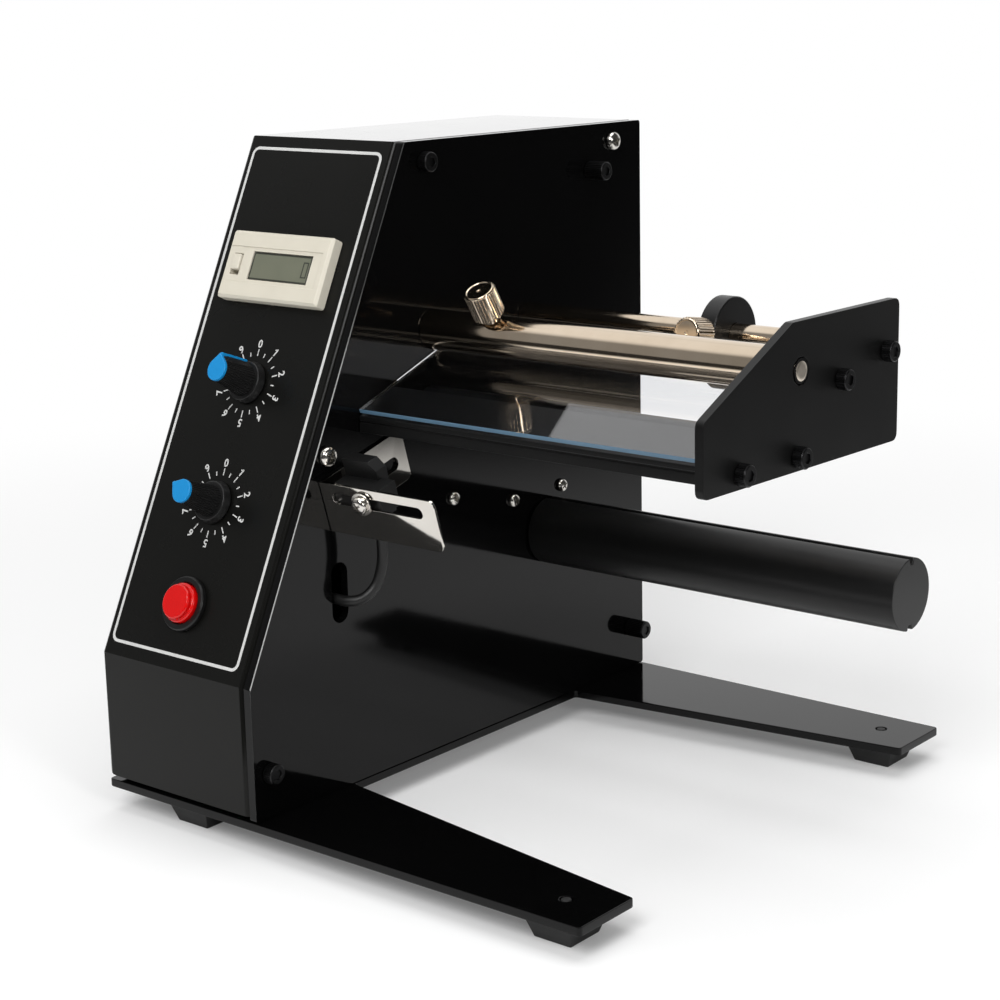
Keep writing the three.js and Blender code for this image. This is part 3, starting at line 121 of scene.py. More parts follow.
class Link:
    """One output of a node."""

    def __init__(self, sheet, socket):
        self.sheet = sheet
        self.socket = socket

    def math(self, operation, first, second):
        return self.sheet.node("Math", "Value", {"operation": operation}, {0: first, 1: second})

    def __add__(self, other):
        return self.math("ADD", self, other)

    def __radd__(self, other):
        return self.math("ADD", other, self)

    def __sub__(self, other):
        return self.math("SUBTRACT", self, other)

    def __rsub__(self, other):
        return self.math("SUBTRACT", other, self)

    def __mul__(self, other):
        return self.math("MULTIPLY", self, other)

    def __rmul__(self, other):
        return self.math("MULTIPLY", other, self)


class NodeSheet:
    """The nodes of a finish, of the floor or of the world."""

    def __init__(self, tree):
        self.tree = tree

    def plug(self, socket, value):
        if isinstance(value, Link):
            self.tree.links.new(value.socket, socket)
        elif hasattr(value, "__len__") and len(value) == 3 and len(socket.default_value) == 4:
            socket.default_value = (*value, 1)
        else:
            socket.default_value = value

    def node(self, kind, output, settings=None, inputs=None):
        node = self.tree.nodes.new("ShaderNode" + kind)
        for key, value in (settings or {}).items():
            setattr(node, key, value)
        for socket, value in (inputs or {}).items():
            self.plug(node.inputs[socket], value)
        return Link(self, node.outputs[output])

    def steps(self, value, low, high):
        """Rises from 0 to 1 as the value goes from low to high."""
        return self.node("MapRange", "Result", {"interpolation_type": "SMOOTHSTEP"}, {
            "Value": value, "From Min": low, "From Max": high})

    def parts(self, vector):
        """The X, Y and Z of a vector."""
        apart = self.tree.nodes.new("ShaderNodeSeparateXYZ")
        self.plug(apart.inputs[0], vector)
        return [Link(self, output) for output in apart.outputs]


class Finish(NodeSheet):
    """A material with one surface shader, set by name."""

    def __init__(self, name, **values):
        self.material = bpy.data.materials.new(name)
        self.material.use_nodes = True
        super().__init__(self.material.node_tree)
        self.shader = self.tree.nodes["Principled BSDF"]
        self.set(**values)

    def set(self, **values):
        for name, value in values.items():
            self.plug(self.shader.inputs[name.replace("_", " ")], value)

    def spot(self, stretch=(1, 1, 1)):
        """Object coordinates in millimetres, stretched where a grain runs one way."""
        coordinates = self.node("TexCoord", "Object")
        scale = tuple(1000 * share for share in stretch)
        return self.node("Mapping", "Vector", inputs={"Vector": coordinates, "Scale": scale})

    def noise(self, grain, detail=3.0, stretch=(1, 1, 1)):
        """Soft noise between 0 and 1 whose blotches are about grain millimetres wide."""
        inputs = {"Vector": self.spot(stretch), "Scale": 1 / grain, "Detail": detail}
        return self.node("TexNoise", "Fac", inputs=inputs)

    def mixed(self, share, first, second):
        """The colour between two, by number because a Mix node's sockets share their names."""
        return self.node("Mix", 2, {"data_type": "RGBA"}, {0: share, 6: first, 7: second})

    def bump(self, height, depth):
        """Raises the surface by depth millimetres where the height is 1."""
        self.set(Normal=self.node("Bump", "Normal", inputs={
            "Height": height, "Distance": depth * mm, "Strength": 1}))


def gloss_paint():
    finish = Finish("gloss_black_paint", Specular_IOR_Level=0.2)
    cloud = finish.noise(60)
    finish.set(
        Base_Color=finish.mixed(cloud, (0.0012, 0.0012, 0.0013), (0.0022, 0.0022, 0.0022)),
        Roughness=0.05 + 0.05 * finish.noise(35))
    finish.bump(finish.noise(2.2, 2), 0.004)
    return finish


def satin_paint(name, dark, light, rough, gloss):
    finish = Finish(name, Specular_IOR_Level=gloss)
    finish.set(
        Base_Color=finish.mixed(finish.noise(40), dark, light),
        Roughness=rough + 0.08 * finish.noise(18))
    finish.bump(finish.noise(0.45, 2), 0.006)
    return finish


def turned_metal(name, dark, light, rough, stretch=(1, 1, 1), line_rough=0.12):
    """Plated or machined metal with fine turning lines that run round its length."""
    finish = Finish(name, Metallic=1.0)
    lines = finish.noise(0.5, 2, stretch)
    finish.set(
        Base_Color=finish.mixed(finish.noise(14), dark, light),
        Roughness=rough + line_rough * lines)
    finish.bump(lines, 0.0015)
    return finish


def moulded(name, dark, light, rough, grain=0.25, depth=0.004, **values):
    finish = Finish(name, **values)
    finish.set(
        Base_Color=finish.mixed(finish.noise(9), dark, light),
        Roughness=rough + 0.1 * finish.noise(5))
    finish.bump(finish.noise(grain, 2), depth)
    return finish


def mirror_steel():
    finish = Finish("mirror_stainless", Metallic=1.0)
    scratches = finish.steps(finish.noise(0.4, 3, (0.04, 1, 1)), 0.62, 0.7)
    finish.set(
        Base_Color=finish.mixed(finish.noise(12), (0.63, 0.6, 0.55), (0.72, 0.695, 0.65)),
        Roughness=0.04 + 0.08 * scratches)
    finish.bump(finish.noise(9, 1), 0.005)
    return finish


def worn_paint():
    """Black paint with a pale painted highlight along the lower part of an edge, where a lamp would
    glint in the rounded edge.
    """
    finish = Finish("painted_edge_highlight", Roughness=0.35)
    height = finish.parts(finish.node("TexCoord", "Object"))[2]
    # The painted highlight is pale low on the edge and fades to black paint towards its top
    highlit_below, unlit_above = 140 * mm, 185 * mm
    highlight_share = finish.steps(0 - height, -unlit_above, -highlit_below)
    finish.set(Base_Color=finish.mixed(highlight_share, (0.02, 0.02, 0.02), (0.34, 0.34, 0.335)))
    return finish


def clear_plastic():
    finish = Finish("clear_polycarbonate", Transmission_Weight=1.0, IOR=1.5, Roughness=0.0)
    dust = finish.steps(finish.noise(0.8, 1), 0.72, 0.78)
    finish.set(Base_Color=finish.mixed(dust, (0.97, 0.98, 1.0), (0.84, 0.87, 0.9)))
    return finish


def display_glass():
    """Grey-green display under a thin clear window."""
    finish = Finish("grey_green_display", Coat_Weight=0.6, Coat_Roughness=0.05)
    finish.set(
        Base_Color=finish.mixed(finish.noise(8), (0.112, 0.12, 0.084), (0.135, 0.14, 0.097)),
        Roughness=0.3 + 0.1 * finish.noise(4))
    return finish


def circuit_board():
    finish = Finish("green_board", Coat_Weight=0.4)
    tracks = finish.steps(finish.noise(2.5, 0, (1, 0.2, 1)), 0.5, 0.53)
    finish.set(
        Base_Color=finish.mixed(tracks, (0.004, 0.06, 0.02), (0.01, 0.12, 0.04)),
        Roughness=0.35 + 0.1 * tracks)
    return finish


# Each finish has its darkest and its lightest tone first
deep_black = (0.003, 0.003, 0.003), (0.006, 0.006, 0.006)

finishes = {
    "gloss_black_steel": gloss_paint(),
    "satin_black_cover": satin_paint(
        "satin_black_cover", (0.004, 0.004, 0.0035), (0.006, 0.006, 0.0055), 0.16, 0.15),
    "satin_black_plate": satin_paint("satin_black_plate", *deep_black, 0.32, 0.21),
    "black_anodised": satin_paint("black_anodised", *deep_black, 0.32, 0.34),
    "nickel": turned_metal(
        "polished_nickel", (0.63, 0.51, 0.38), (0.82, 0.7, 0.56), 0.08, (1, 0.05, 0.05), 0.06),
    "screw_nickel": turned_metal("screw_nickel", (0.6, 0.57, 0.52), (0.76, 0.74, 0.7), 0.14),
    "black_oxide": turned_metal(
        "black_oxide", (0.018, 0.018, 0.019), (0.036, 0.036, 0.037), 0.3),
    "stainless": mirror_steel(),
    "steel": turned_metal("machined_steel", (0.36, 0.36, 0.36), (0.52, 0.52, 0.52), 0.25),
    "bronze": turned_metal("sintered_bronze", (0.42, 0.26, 0.12), (0.55, 0.36, 0.18), 0.3),
    "black_rubber": moulded(
        "black_rubber", (0.006, 0.006, 0.006), (0.012, 0.012, 0.012), 0.6, 0.5, 0.02),
    "lead_sheath": moulded("lead_sheath", *deep_black, 0.4, 0.6, 0.006),
    "black_plastic": moulded("black_plastic", *deep_black, 0.32, Specular_IOR_Level=0.35),
    "cream_plastic": moulded(
        "cream_plastic", (0.55, 0.515, 0.43), (0.61, 0.575, 0.485), 0.38, 0.3, 0.004),
    "display": display_glass(),
    "blue_plastic": moulded(
        "blue_plastic", (0.004, 0.19, 0.47), (0.007, 0.24, 0.55), 0.32, 0.3, 0.003,
        Specular_IOR_Level=0.3),
    "red_plastic": moulded(
        "red_plastic", (0.5, 0.001, 0.001), (0.58, 0.002, 0.002), 0.16, 0.6, 0.001,
        Specular_IOR_Level=0.25, Coat_Weight=0.3, Coat_Roughness=0.05),
    "clear_sheet": clear_plastic(),
    "board": circuit_board(),
}
panel_film = satin_paint("panel_film", (0.0035, 0.0035, 0.003), (0.0055, 0.0055, 0.005), 0.24, 0.19)
# The cover paint again for its top face, coated and lighter: the coat is real gloss, the lighter
# colour is painted sheen for light washing over the top
top_paint_lit_copy = satin_paint("satin_black_top_painted_sheen", (0.01, 0.01, 0.01), (0.014, 0.014, 0.014), 0.12, 0.5)
top_paint_lit_copy.set(Coat_Weight=1.0, Coat_Roughness=0.08)
white_ink = moulded("white_ink", (0.5, 0.5, 0.49), (0.58, 0.58, 0.57), 0.45, 0.2, 0.002)
dark_print = moulded("dark_display_print", (0.02, 0.022, 0.016), (0.03, 0.032, 0.024), 0.35)
blue_edge = moulded(
    "blue_sheet_edge", (0.068, 0.135, 0.205), (0.096, 0.175, 0.25), 0.25, 1.2, 0.001)
# Pale finish for the side plate's sloped edge: a painted highlight
edge_highlight = worn_paint()
shaft_end = turned_metal("faced_shaft_end", (0.7, 0.62, 0.52), (0.85, 0.78, 0.68), 0.35)

for node, piece in frame["nodes"].items():
    piece.data.materials.clear()
    piece.data.materials.append(finishes[slot_of_node[node]].material)


# Modelling, all along Z at the world's origin until a piece is settled

weld_gap = 0.002 * mm
flat_angle = math.radians(0.5)


def choose_object(piece):
    bpy.ops.object.select_all(action="DESELECT")
    piece.select_set(True)
    bpy.context.view_layer.objects.active = piece


def edit(piece, kind="FACE"):
    choose_object(piece)
    bpy.ops.object.mode_set(mode="EDIT")
    bpy.ops.mesh.select_mode(type=kind)
    bpy.ops.mesh.select_all(action="SELECT")


def leave_edit():
    bpy.ops.object.mode_set(mode="OBJECT")


def choose_points(piece, wanted):
    mesh = bmesh.from_edit_mesh(piece.data)
    bpy.ops.mesh.select_all(action="DESELECT")
    for point in mesh.verts:
        if wanted(point):
            point.select_set(True)
    mesh.select_flush(True)
    bmesh.update_edit_mesh(piece.data)


def use_modifier(piece, kind, **settings):
    choose_object(piece)
    bpy.ops.object.modifier_add(type=kind)
    modifier = piece.modifiers[-1]
    for key, value in settings.items():
        setattr(modifier, key, value)
    bpy.ops.object.modifier_apply(modifier=modifier.name)


def soften(piece, width, segments=2, sharper_than=35):
    """Rounds the sharp edges and shades the rest smooth."""
    if width:
        use_modifier(
            piece, "BEVEL", width=width * mm, segments=segments, limit_method="ANGLE",
            angle_limit=math.radians(sharper_than), use_clamp_overlap=True)
    choose_object(piece)
    bpy.ops.object.shade_smooth_by_angle(angle=math.radians(sharper_than))
    use_modifier(piece, "WEIGHTED_NORMAL", keep_sharp=True)


def settle(piece, where, finish, body, stands_for=()):
    """Puts a finished piece in its place and gives it its finish and its body."""
    choose_object(piece)
    piece.matrix_world = where @ piece.matrix_world
    bpy.ops.object.transform_apply(location=True, rotation=True, scale=True)
    piece.data.materials.clear()
    piece.data.materials.append(finish.material)
    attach(piece, body)
    if stands_for:
        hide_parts(*stands_for)
    return piece


def settle_for(node, piece, where=Matrix()):
    """Settles a piece that stands for a node, with the node's body and finish."""
    slot = slot_of_node[node]
    piece.name = "fine_" + node
    return settle(piece, where, finishes[slot], body_of_node[node], [node])


def traced(node):
    """A merged copy of a node's own surface."""
    copy = bpy.data.objects.new("fine_" + node, frame["nodes"][node].data.copy())
    bpy.context.scene.collection.objects.link(copy)
    edit(copy)
    bpy.ops.mesh.customdata_custom_splitnormals_clear()
    bpy.ops.mesh.remove_doubles(threshold=weld_gap)
    bpy.ops.mesh.dissolve_limited(angle_limit=flat_angle)
    leave_edit()
    return copy


def refine(node, width, segments=2, sharper_than=35):
    """A node's own surface with its edges rounded."""
    copy = traced(node)
    soften(copy, width, segments, sharper_than)
    return settle_for(node, copy)


def turned(profile, sides=64):
    """A solid turned about Z. The profile lists its radius and height from the lowest face up."""
    first_radius, first_height = profile[0]
    bpy.ops.object.select_all(action="DESELECT")
    bpy.ops.mesh.primitive_circle_add(vertices=sides, radius=first_radius * mm, fill_type="NGON")
    piece = bpy.context.object
    edit(piece)
    bpy.ops.transform.translate(value=(0, 0, first_height * mm))
    for (radius, height), (next_radius, next_height) in zip(profile, profile[1:]):
        share = next_radius / radius
        rise = (next_height - height) * mm
        bpy.ops.mesh.extrude_region_move(TRANSFORM_OT_translate={"value": (0, 0, rise)})
        bpy.ops.transform.resize(value=(share, share, 1), center_override=(0, 0, 0))
    bpy.ops.mesh.select_all(action="SELECT")
    bpy.ops.mesh.normals_make_consistent(inside=False)
    leave_edit()
    return piece


def ribbed(radius, depth, ribs, start, end, points_each=4, sunk=2):
    """A column with straight ribs and, after each, a groove over some of its points."""
    bpy.ops.object.select_all(action="DESELECT")
    bpy.ops.mesh.primitive_circle_add(
        vertices=ribs * points_each, radius=radius * mm, fill_type="NGON")
    piece = bpy.context.object
    edit(piece, "VERT")
    bpy.ops.transform.translate(value=(0, 0, start * mm))
    choose_points(piece, lambda point: point.index % points_each < sunk)
    share = (radius - depth) / radius
    bpy.ops.transform.resize(value=(share, share, 1), center_override=(0, 0, 0))
    bpy.ops.mesh.select_mode(type="FACE")
    bpy.ops.mesh.select_all(action="SELECT")
    bpy.ops.mesh.extrude_region_move(TRANSFORM_OT_translate={"value": (0, 0, (end - start) * mm)})
    bpy.ops.mesh.select_all(action="SELECT")
    bpy.ops.mesh.normals_make_consistent(inside=False)
    leave_edit()
    return piece


def carve(piece, *cutters):
    """Cuts the cutters out of the piece and removes them."""
    for cutter in cutters:
        use_modifier(piece, "BOOLEAN", operation="DIFFERENCE", solver="EXACT", object=cutter)
        bpy.data.objects.remove(cutter)
    edit(piece)
    bpy.ops.mesh.dissolve_limited(angle_limit=flat_angle)
    leave_edit()
    return piece


def block(low, high):
    """A plain box between two corners, as a start or a cutter."""
    low, high = Vector(low) * mm, Vector(high) * mm
    bpy.ops.object.select_all(action="DESELECT")
    bpy.ops.mesh.primitive_cube_add(size=1, location=(low + high) / 2)
    piece = bpy.context.object
    piece.scale = high - low
    bpy.ops.object.transform_apply(location=True, rotation=True, scale=True)
    return piece


def merge(first, *others):
    choose_object(first)
    for other in others:
        other.select_set(True)
    bpy.ops.object.join()
    return first


# Sensor lead: one sheath in two lengths, split at one of its points

lead_points = [
    (12.2, 48.7, 97.3), (12.2, 50.1, 92.4), (12, 51.3, 86), (11.6, 51.4, 79), (10.6, 49.4, 72),
    (8, 45.6, 67.6), (3, 42.9, 66.4), (-6, 42.7, 66), (-14, 43, 60), (-17, 43.5, 48), (-17, 44, 34),
]
lead_radius = 1.85
slot_index, split_index = 6, 3


def lead_length(name, first, last):
    """The lead between two of its points, with its slope at each taken from the whole route."""
    curve = bpy.data.curves.new(name, "CURVE")
    curve.dimensions = "3D"
    curve.resolution_u = 10
    curve.bevel_depth = lead_radius * mm
    curve.bevel_resolution = 6
    curve.use_fill_caps = True
    spline = curve.splines.new("BEZIER")
    spline.bezier_points.add(last - first)
    for number, point in zip(range(first, last + 1), spline.bezier_points):
        spot = (machine_origin + Vector(lead_points[number])) * mm
        # Handles of a sixth of the way between the neighbours keep the curve even
        ahead = Vector(lead_points[min(number + 1, len(lead_points) - 1)])
        slope = (ahead - Vector(lead_points[max(number - 1, 0)])) * mm / 6
        point.handle_left_type = point.handle_right_type = "FREE"
        point.co, point.handle_left, point.handle_right = spot, spot - slope, spot + slope
    piece = bpy.data.objects.new(name, curve)
    bpy.context.scene.collection.objects.link(piece)
    choose_object(piece)
    bpy.ops.object.convert(target="MESH")
    piece = bpy.context.object
    bpy.ops.object.shade_smooth_by_angle(angle=math.radians(40))
    piece.data.materials.append(finishes["lead_sheath"].material)
    return piece


def add_lead():
    upper = lead_length("lead_upper_length", 0, split_index)
    lower = lead_length("lead_lower_length", split_index, len(lead_points) - 1)
    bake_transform(upper)
    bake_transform(lower)
    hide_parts("sensor_lead")


add_lead()


# Painted plates, the folded cover and other pieces whose own surface is right

refine("base_plate", 0.4)
refine("outer_plate", 0.35)
refine("platform_bar", 0.25)
refine("sensor_bracket", 0.12)
refine("sensor", 0.35)
refine("counter_housing", 0.15)
refine("counter_display", 0.1)
for corner in ("front_right", "rear_right", "front_left", "rear_left"):
    refine("foot_" + corner, 0.6, 3)


def mark_faces(piece, direction, finish, closeness=0.99):
    """Gives a finish to the faces that look one way. Closeness is the cosine of their turn."""
    piece.data.materials.append(finish.material)
    for face in piece.data.polygons:
        if face.normal.dot(direction) > closeness:
            face.material_index = len(piece.data.materials) - 1


def add_side_plate():
    """The plate, with its long sloped outer edge broken more than the others and given a pale
    painted highlight.
    """
    broken_by = 0.28
    plate = traced("side_plate")
    to_slope = panel.inverted()

    def at_outer_corner(point):
        across, _, out = to_slope @ point.co / mm
        return abs(across) < 0.05 and abs(out) < 0.6

    edit(plate, "VERT")
    choose_points(plate, at_outer_corner)
    bpy.ops.mesh.bevel(offset=broken_by * mm, segments=2, affect="EDGES")
    leave_edit()
    soften(plate, 0.25)
    settle_for("side_plate", plate)
    # The rounding of the sloped edge gets the painted highlight
    mark_faces(plate, (slope_normal + Vector((1, 0, 0))).normalized(), edge_highlight, 0.91)


add_side_plate()
cover = refine("housing_cover", 0, sharper_than=24)
mark_faces(cover, slope_normal, panel_film)
# The top face takes the lighter copy of the paint, a painted sheen
mark_faces(cover, Vector((0, 0, 1)), top_paint_lit_copy)


# Clear hold-down sheet with its light-blue front edge

def add_sheet():
    sheet = traced("hold_down_sheet")
    soften(sheet, 0.12, 1)
    settle_for("hold_down_sheet", sheet)
    slope = math.radians(20.5)
    mark_faces(sheet, Vector((0, -math.cos(slope), -math.sin(slope))), blue_edge, 0.6)


add_sheet()


# Rods, tubes and the spindle

# Where the rods and bars run along X, as Y and Z
rod_axes = {
    "guide_rod": (143.2, 150.8),
    "support_rod": (115.4, 145.8),
    "tie_bar": (90.7, 125.3),
    "hold_down_shaft": (92.7, 151.6),
}
# Radius, start and end of each, from the side plate to the outer plate
rod_start, rod_end = 0.3, 145.7
rods = {
    "guide_rod": (4, rod_start, rod_end),
    "support_rod": (4, rod_start, rod_end),
    "tie_bar": (6, rod_start, rod_end),
    "hold_down_shaft": (4, -5, 148.9),
}
rod_bore = 4.1
tube_radius = 7
disc_radius = 13
guide_disc_x = 88


def on_rod(node, x=0.0):
    """A place on a rod's axis, for a piece that was modelled along Z."""
    return place(x, *rod_axes[node]) @ along_x


def add_rods():
    for node, (radius, start, end) in rods.items():
        rod = turned([(radius, start), (radius, end)])
        soften(rod, 0.1)
        settle_for(node, rod, on_rod(node))


def add_shaft_end():
    """The turned-down end of the shaft, in a dark bush in the outer plate."""
    shaft = "hold_down_shaft"
    body, slot = body_of_node[shaft], slot_of_node[shaft]
    radius, _, end = rods[shaft]
    bush = turned([(radius, end), (radius, end + 0.2)])
    bush.name = "shaft_bush"
    settle(bush, on_rod(shaft), finishes["black_oxide"], body)
    tip = turned([(3.1, 149.1), (3.1, 149.25), (2.8, 149.4), (1.8, 149.5)])
    tip.name = "shaft_tip"
    soften(tip, 0)
    settle(tip, on_rod(shaft), shaft_end, body)


def bored(profile, sides=64):
    """A turned piece with a bore for a rod right through it."""
    piece = turned(profile, sides)
    drill = turned([(rod_bore, profile[0][1] - 1), (rod_bore, profile[-1][1] + 1)], sides)
    return carve(piece, drill)


def add_tube():
    tube = bored([(tube_radius, rod_start), (tube_radius, rod_end)], 96)
    soften(tube, 0.3)
    settle_for("hold_down_tube", tube, on_rod("hold_down_shaft"))


def add_spindle():
    """The spindle with two notches along it, turned so that they stand nearly upright."""
    points_each, sunk = 80, 5
    spindle = ribbed(12.5, 2, 2, 0.8, 154.4, points_each, sunk)
    soften(spindle, 0.35)
    level = math.radians(180 / points_each * (sunk - 1) / 2 - 90)
    settle_for(
        "take_up_spindle", spindle,
        place(0, 154.1, 67.8, math.radians(80)) @ along_x @ Matrix.Rotation(level, 4, "Z"))


def add_discs():
    broken = disc_radius - 0.4
    disc = bored([(broken, -3.4), (disc_radius, -3), (disc_radius, 3), (broken, 3.4)], 96)
    soften(disc, 0.15)
    settle_for("guide_disc", disc, on_rod("guide_rod", guide_disc_x))
    collar = bored([(7.7, 0), (8.5, 0.8), (8.5, 7.2), (7.7, 8)])
    soften(collar, 0.15)
    settle_for("stop_collar", collar, on_rod("support_rod", 102.5))


add_rods()
add_shaft_end()
add_tube()
add_spindle()
add_discs()


# Knurled thumbscrews

def thumbscrew(head_radius, head_length, neck_top, stem):
    """A screw with a neck and a knurled head that is faced with a shallow centre."""
    top = neck_top + head_length
    core = turned([
        (1.9, -stem), (1.9, 0.3), (3.2, 0.3), (3.2, neck_top), (head_radius - 0.8, neck_top),
        (head_radius - 0.25, neck_top + 0.6), (head_radius - 0.25, top - 0.7),
        (head_radius - 0.7, top), (head_radius - 1.1, top), (head_radius - 1.25, top - 0.2),
        (0.7, top - 0.2), (0.5, top - 0.6)])
    soften(core, 0.1, 1)
    ribs = ribbed(head_radius, 0.4, 30, neck_top + 0.5, top - 0.5)
    soften(ribs, 0.08, 1)
    return merge(core, ribs)


def add_thumbscrews():
    """Each stands on the round face of what it locks, leaning from upright towards the front."""
    tube_lean, disc_lean = math.radians(31), math.radians(81.4)
    settle_for(
        "hold_down_thumbscrew", thumbscrew(5.5, 10.4, 2.2, 2.6),
        place(30, *rod_axes["hold_down_shaft"], tube_lean)
        @ Matrix.Translation((0, 0, tube_radius * mm)))
    settle_for(
        "guide_thumbscrew", thumbscrew(5.3, 9.8, 1.6, 8.6),
        place(guide_disc_x, *rod_axes["guide_rod"], disc_lean)
        @ Matrix.Translation((0, 0, disc_radius * mm)))


add_thumbscrews()


# Screws

def cap_screw(head_height):
    """Socket cap screw with a knurled head."""
    head = turned([
        (1.9, -6), (1.9, 0.3), (3.25, 0.3), (3.35, 0.5), (3.35, head_height - 0.35),
        (3.0, head_height)])
    socket = turned([(1.85, head_height - 2), (1.85, head_height + 1)], 6)
    carve(head, socket)
    soften(head, 0.08, 1)
    ribs = ribbed(3.5, 0.16, 30, 0.6, head_height - 0.5)
    return merge(head, ribs)


def pan_screw(head_radius, base=0.3):
    """Pan head screw with a cross recess."""
    rise = head_radius * 0.72
    dome = [(1, 0), (1, 0.38), (0.93, 0.62), (0.8, 0.82), (0.6, 0.94), (0.35, 0.99), (0.1, 1)]
    outline = [(head_radius * out, base + rise * up) for out, up in dome]
    head = turned([(1.5, -6), (1.5, base)] + outline, 48)
    long_arm, thin_arm, floor = head_radius * 0.58, head_radius * 0.13, base + rise * 0.45
    carve(
        head,
        block((-long_arm, -thin_arm, floor), (long_arm, thin_arm, base + rise + 1)),
        block((-thin_arm, -long_arm, floor), (thin_arm, long_arm, base + rise + 1)))
    soften(head, 0.06, 1)
    return head


# X, Y and Z of each screw's seat, and the height of its head
outer_face = 149
cap_screws = {
    "outer_plate_screw_support": (outer_face, *rod_axes["support_rod"], 4),
    "outer_plate_screw_guide": (outer_face, *rod_axes["guide_rod"], 4),
    "outer_plate_screw_tie": (outer_face, *rod_axes["tie_bar"], 4),
    "outer_plate_screw_platform": (outer_face, 59.4, 125.7, 4),
    "side_plate_screw_top_front": (0, 90.4, 208.9, 4),
    "side_plate_screw_top_rear": (0, 182, 199.3, 8.5),
    "side_plate_screw_bottom_front": (0, 6.8, 16, 4),
    "side_plate_screw_bottom_rear": (0, 205, 17, 8.5),
}
# Y and Z in the side plate, the head's radius and its turn in degrees
pan_screws = {
    "cover_screw_top": (196, 209.2, 3.4, 20),
    "cover_screw_front": (38.8, 116.4, 3.4, 65),
    "motor_screw_front": (101, 90, 2.4, 10),
    "motor_screw_middle": (134.2, 82.7, 2.4, 50),
    "motor_screw_rear": (162.5, 83.1, 2.4, 35),
}


def add_screws():
    turned_apart, sensor_turn = 0.6, 0.5
    for number, (node, (x, y, z, head_height)) in enumerate(cap_screws.items()):
        where = place(x, y, z) @ along_x @ Matrix.Rotation(number * turned_apart, 4, "Z")
        settle_for(node, cap_screw(head_height), where)
    for node, (y, z, head_radius, turn) in pan_screws.items():
        where = place(0, y, z) @ along_x @ Matrix.Rotation(math.radians(turn), 4, "Z")
        settle_for(node, pan_screw(head_radius), where)
    bracket = place(0, 34.6, 108.5, math.radians(16))
    in_slot = Matrix.Translation(Vector((18.5, 0, -5.2)) * mm)
    facing_front = Matrix.Rotation(math.pi / 2, 4, "X") @ Matrix.Rotation(sensor_turn, 4, "Z")
    washer_top = 1.1
    washer = turned([(4, 0.3), (4, washer_top)], 48)
    soften(washer, 0.12)
    screw = merge(pan_screw(3, washer_top), washer)
    settle_for("sensor_screw", screw, bracket @ in_slot @ facing_front)


add_screws()


# Counter: reset slide, the display's dark rim and its one figure

counter_centre = (-38.4, 139.9)
ink_height = 0.04


def flat_ring(width, height, line, corner=0.0):
    """A thin rectangular ring of one line's width, lying on z = 0."""
    bpy.ops.object.select_all(action="DESELECT")
    bpy.ops.mesh.primitive_plane_add(size=1)
    ring = bpy.context.object
    ring.scale = (width * mm, height * mm, 1)
    bpy.ops.object.transform_apply(location=True, rotation=True, scale=True)
    edit(ring)
    if corner:
        bpy.ops.mesh.bevel(offset=corner * mm, segments=8, affect="VERTICES")
        bpy.ops.mesh.select_all(action="SELECT")
    bpy.ops.mesh.inset(thickness=line * mm)
    bpy.ops.mesh.delete(type="FACE")
    bpy.ops.mesh.select_all(action="SELECT")
    bpy.ops.mesh.extrude_region_move(TRANSFORM_OT_translate={"value": (0, 0, ink_height * mm)})
    bpy.ops.mesh.select_all(action="SELECT")
    bpy.ops.mesh.normals_make_consistent(inside=False)
    leave_edit()
    return ring


def add_counter_face():
    x, up = counter_centre
    reset_x, rim_x, figure_x = x - 18.6, x + 2.4, x + 14
    display_top = 4.2
    reset = block((-1.9, -2, 1.5), (1.9, 3.5, 5.4))
    soften(reset, 0.45, 3)
    settle_for("counter_reset_button", reset, on_panel(reset_x, up))
    rim = flat_ring(27.7, 9.5, 0.45)
    rim.name = "display_rim"
    settle(rim, on_panel(rim_x, up, display_top), dark_print, "chassis")
    figure = flat_ring(2.5, 5.6, 0.42)
    figure.name = "display_figure"
    settle(figure, on_panel(figure_x, up, display_top), dark_print, "chassis")


add_counter_face()


# Dials: printed scales, pointer knobs and their caps

dial_x = -39
# Each dial's height up the panel, and the turn of its knob in degrees
dials = {"upper": (99.9, 3), "lower": (57.6, 66)}


def tick(angle, start, length, width):
    mark = block((-width / 2, start, 0), (width / 2, start + length, ink_height))
    mark.data.transform(Matrix.Rotation(angle, 4, "Z"))
    return mark


def flag(angle, tip_radius):
    """The short sloping stroke of a figure 1, which starts at its tip."""
    half_width, length, slope = 0.2, 1.15, -0.9
    stroke = block((-half_width, -length, 0), (half_width, 0, ink_height))
    stroke.data.transform(
        Matrix.Translation((0, tip_radius * mm, 0)) @ Matrix.Rotation(slope, 4, "Z"))
    stroke.data.transform(Matrix.Rotation(angle, 4, "Z"))
    return stroke


def numeral(number, angle, radius, size):
    bpy.ops.object.select_all(action="DESELECT")
    bpy.ops.object.text_add()
    text = bpy.context.object
    text.data.body = str(number)
    text.data.align_x = "CENTER"
    text.data.align_y = "CENTER"
    text.data.size = size * mm
    text.data.extrude = ink_height / 2 * mm
    text.data.offset = 0.08 * mm
    bpy.ops.object.convert(target="MESH")
    text = bpy.context.object
    lift = Matrix.Translation((0, radius * mm, ink_height / 2 * mm))
    text.data.transform(Matrix.Rotation(angle, 4, "Z") @ lift)
    return text


def add_scale(name, up):
    first, step = 1.6, 36
    # Length and width of the ticks at the figures and between them
    tick_start, long_tick, short_tick = 9.7, (2.4, 0.42), (1.5, 0.4)
    figure_radius, figure_tip, figure_size = 13.9, 15.2, 3.8
    marks = []
    for number in range(10):
        angle = math.radians(first - step * number)
        marks.append(tick(angle, tick_start, *long_tick))
        marks.append(tick(angle - math.radians(step / 2), tick_start, *short_tick))
        marks.append(numeral(number, angle, figure_radius, figure_size))
        if number == 1:
            marks.append(flag(angle, figure_tip))
    scale = merge(*marks)
    scale.name = name
    settle(scale, on_panel(dial_x, up), white_ink, "chassis")


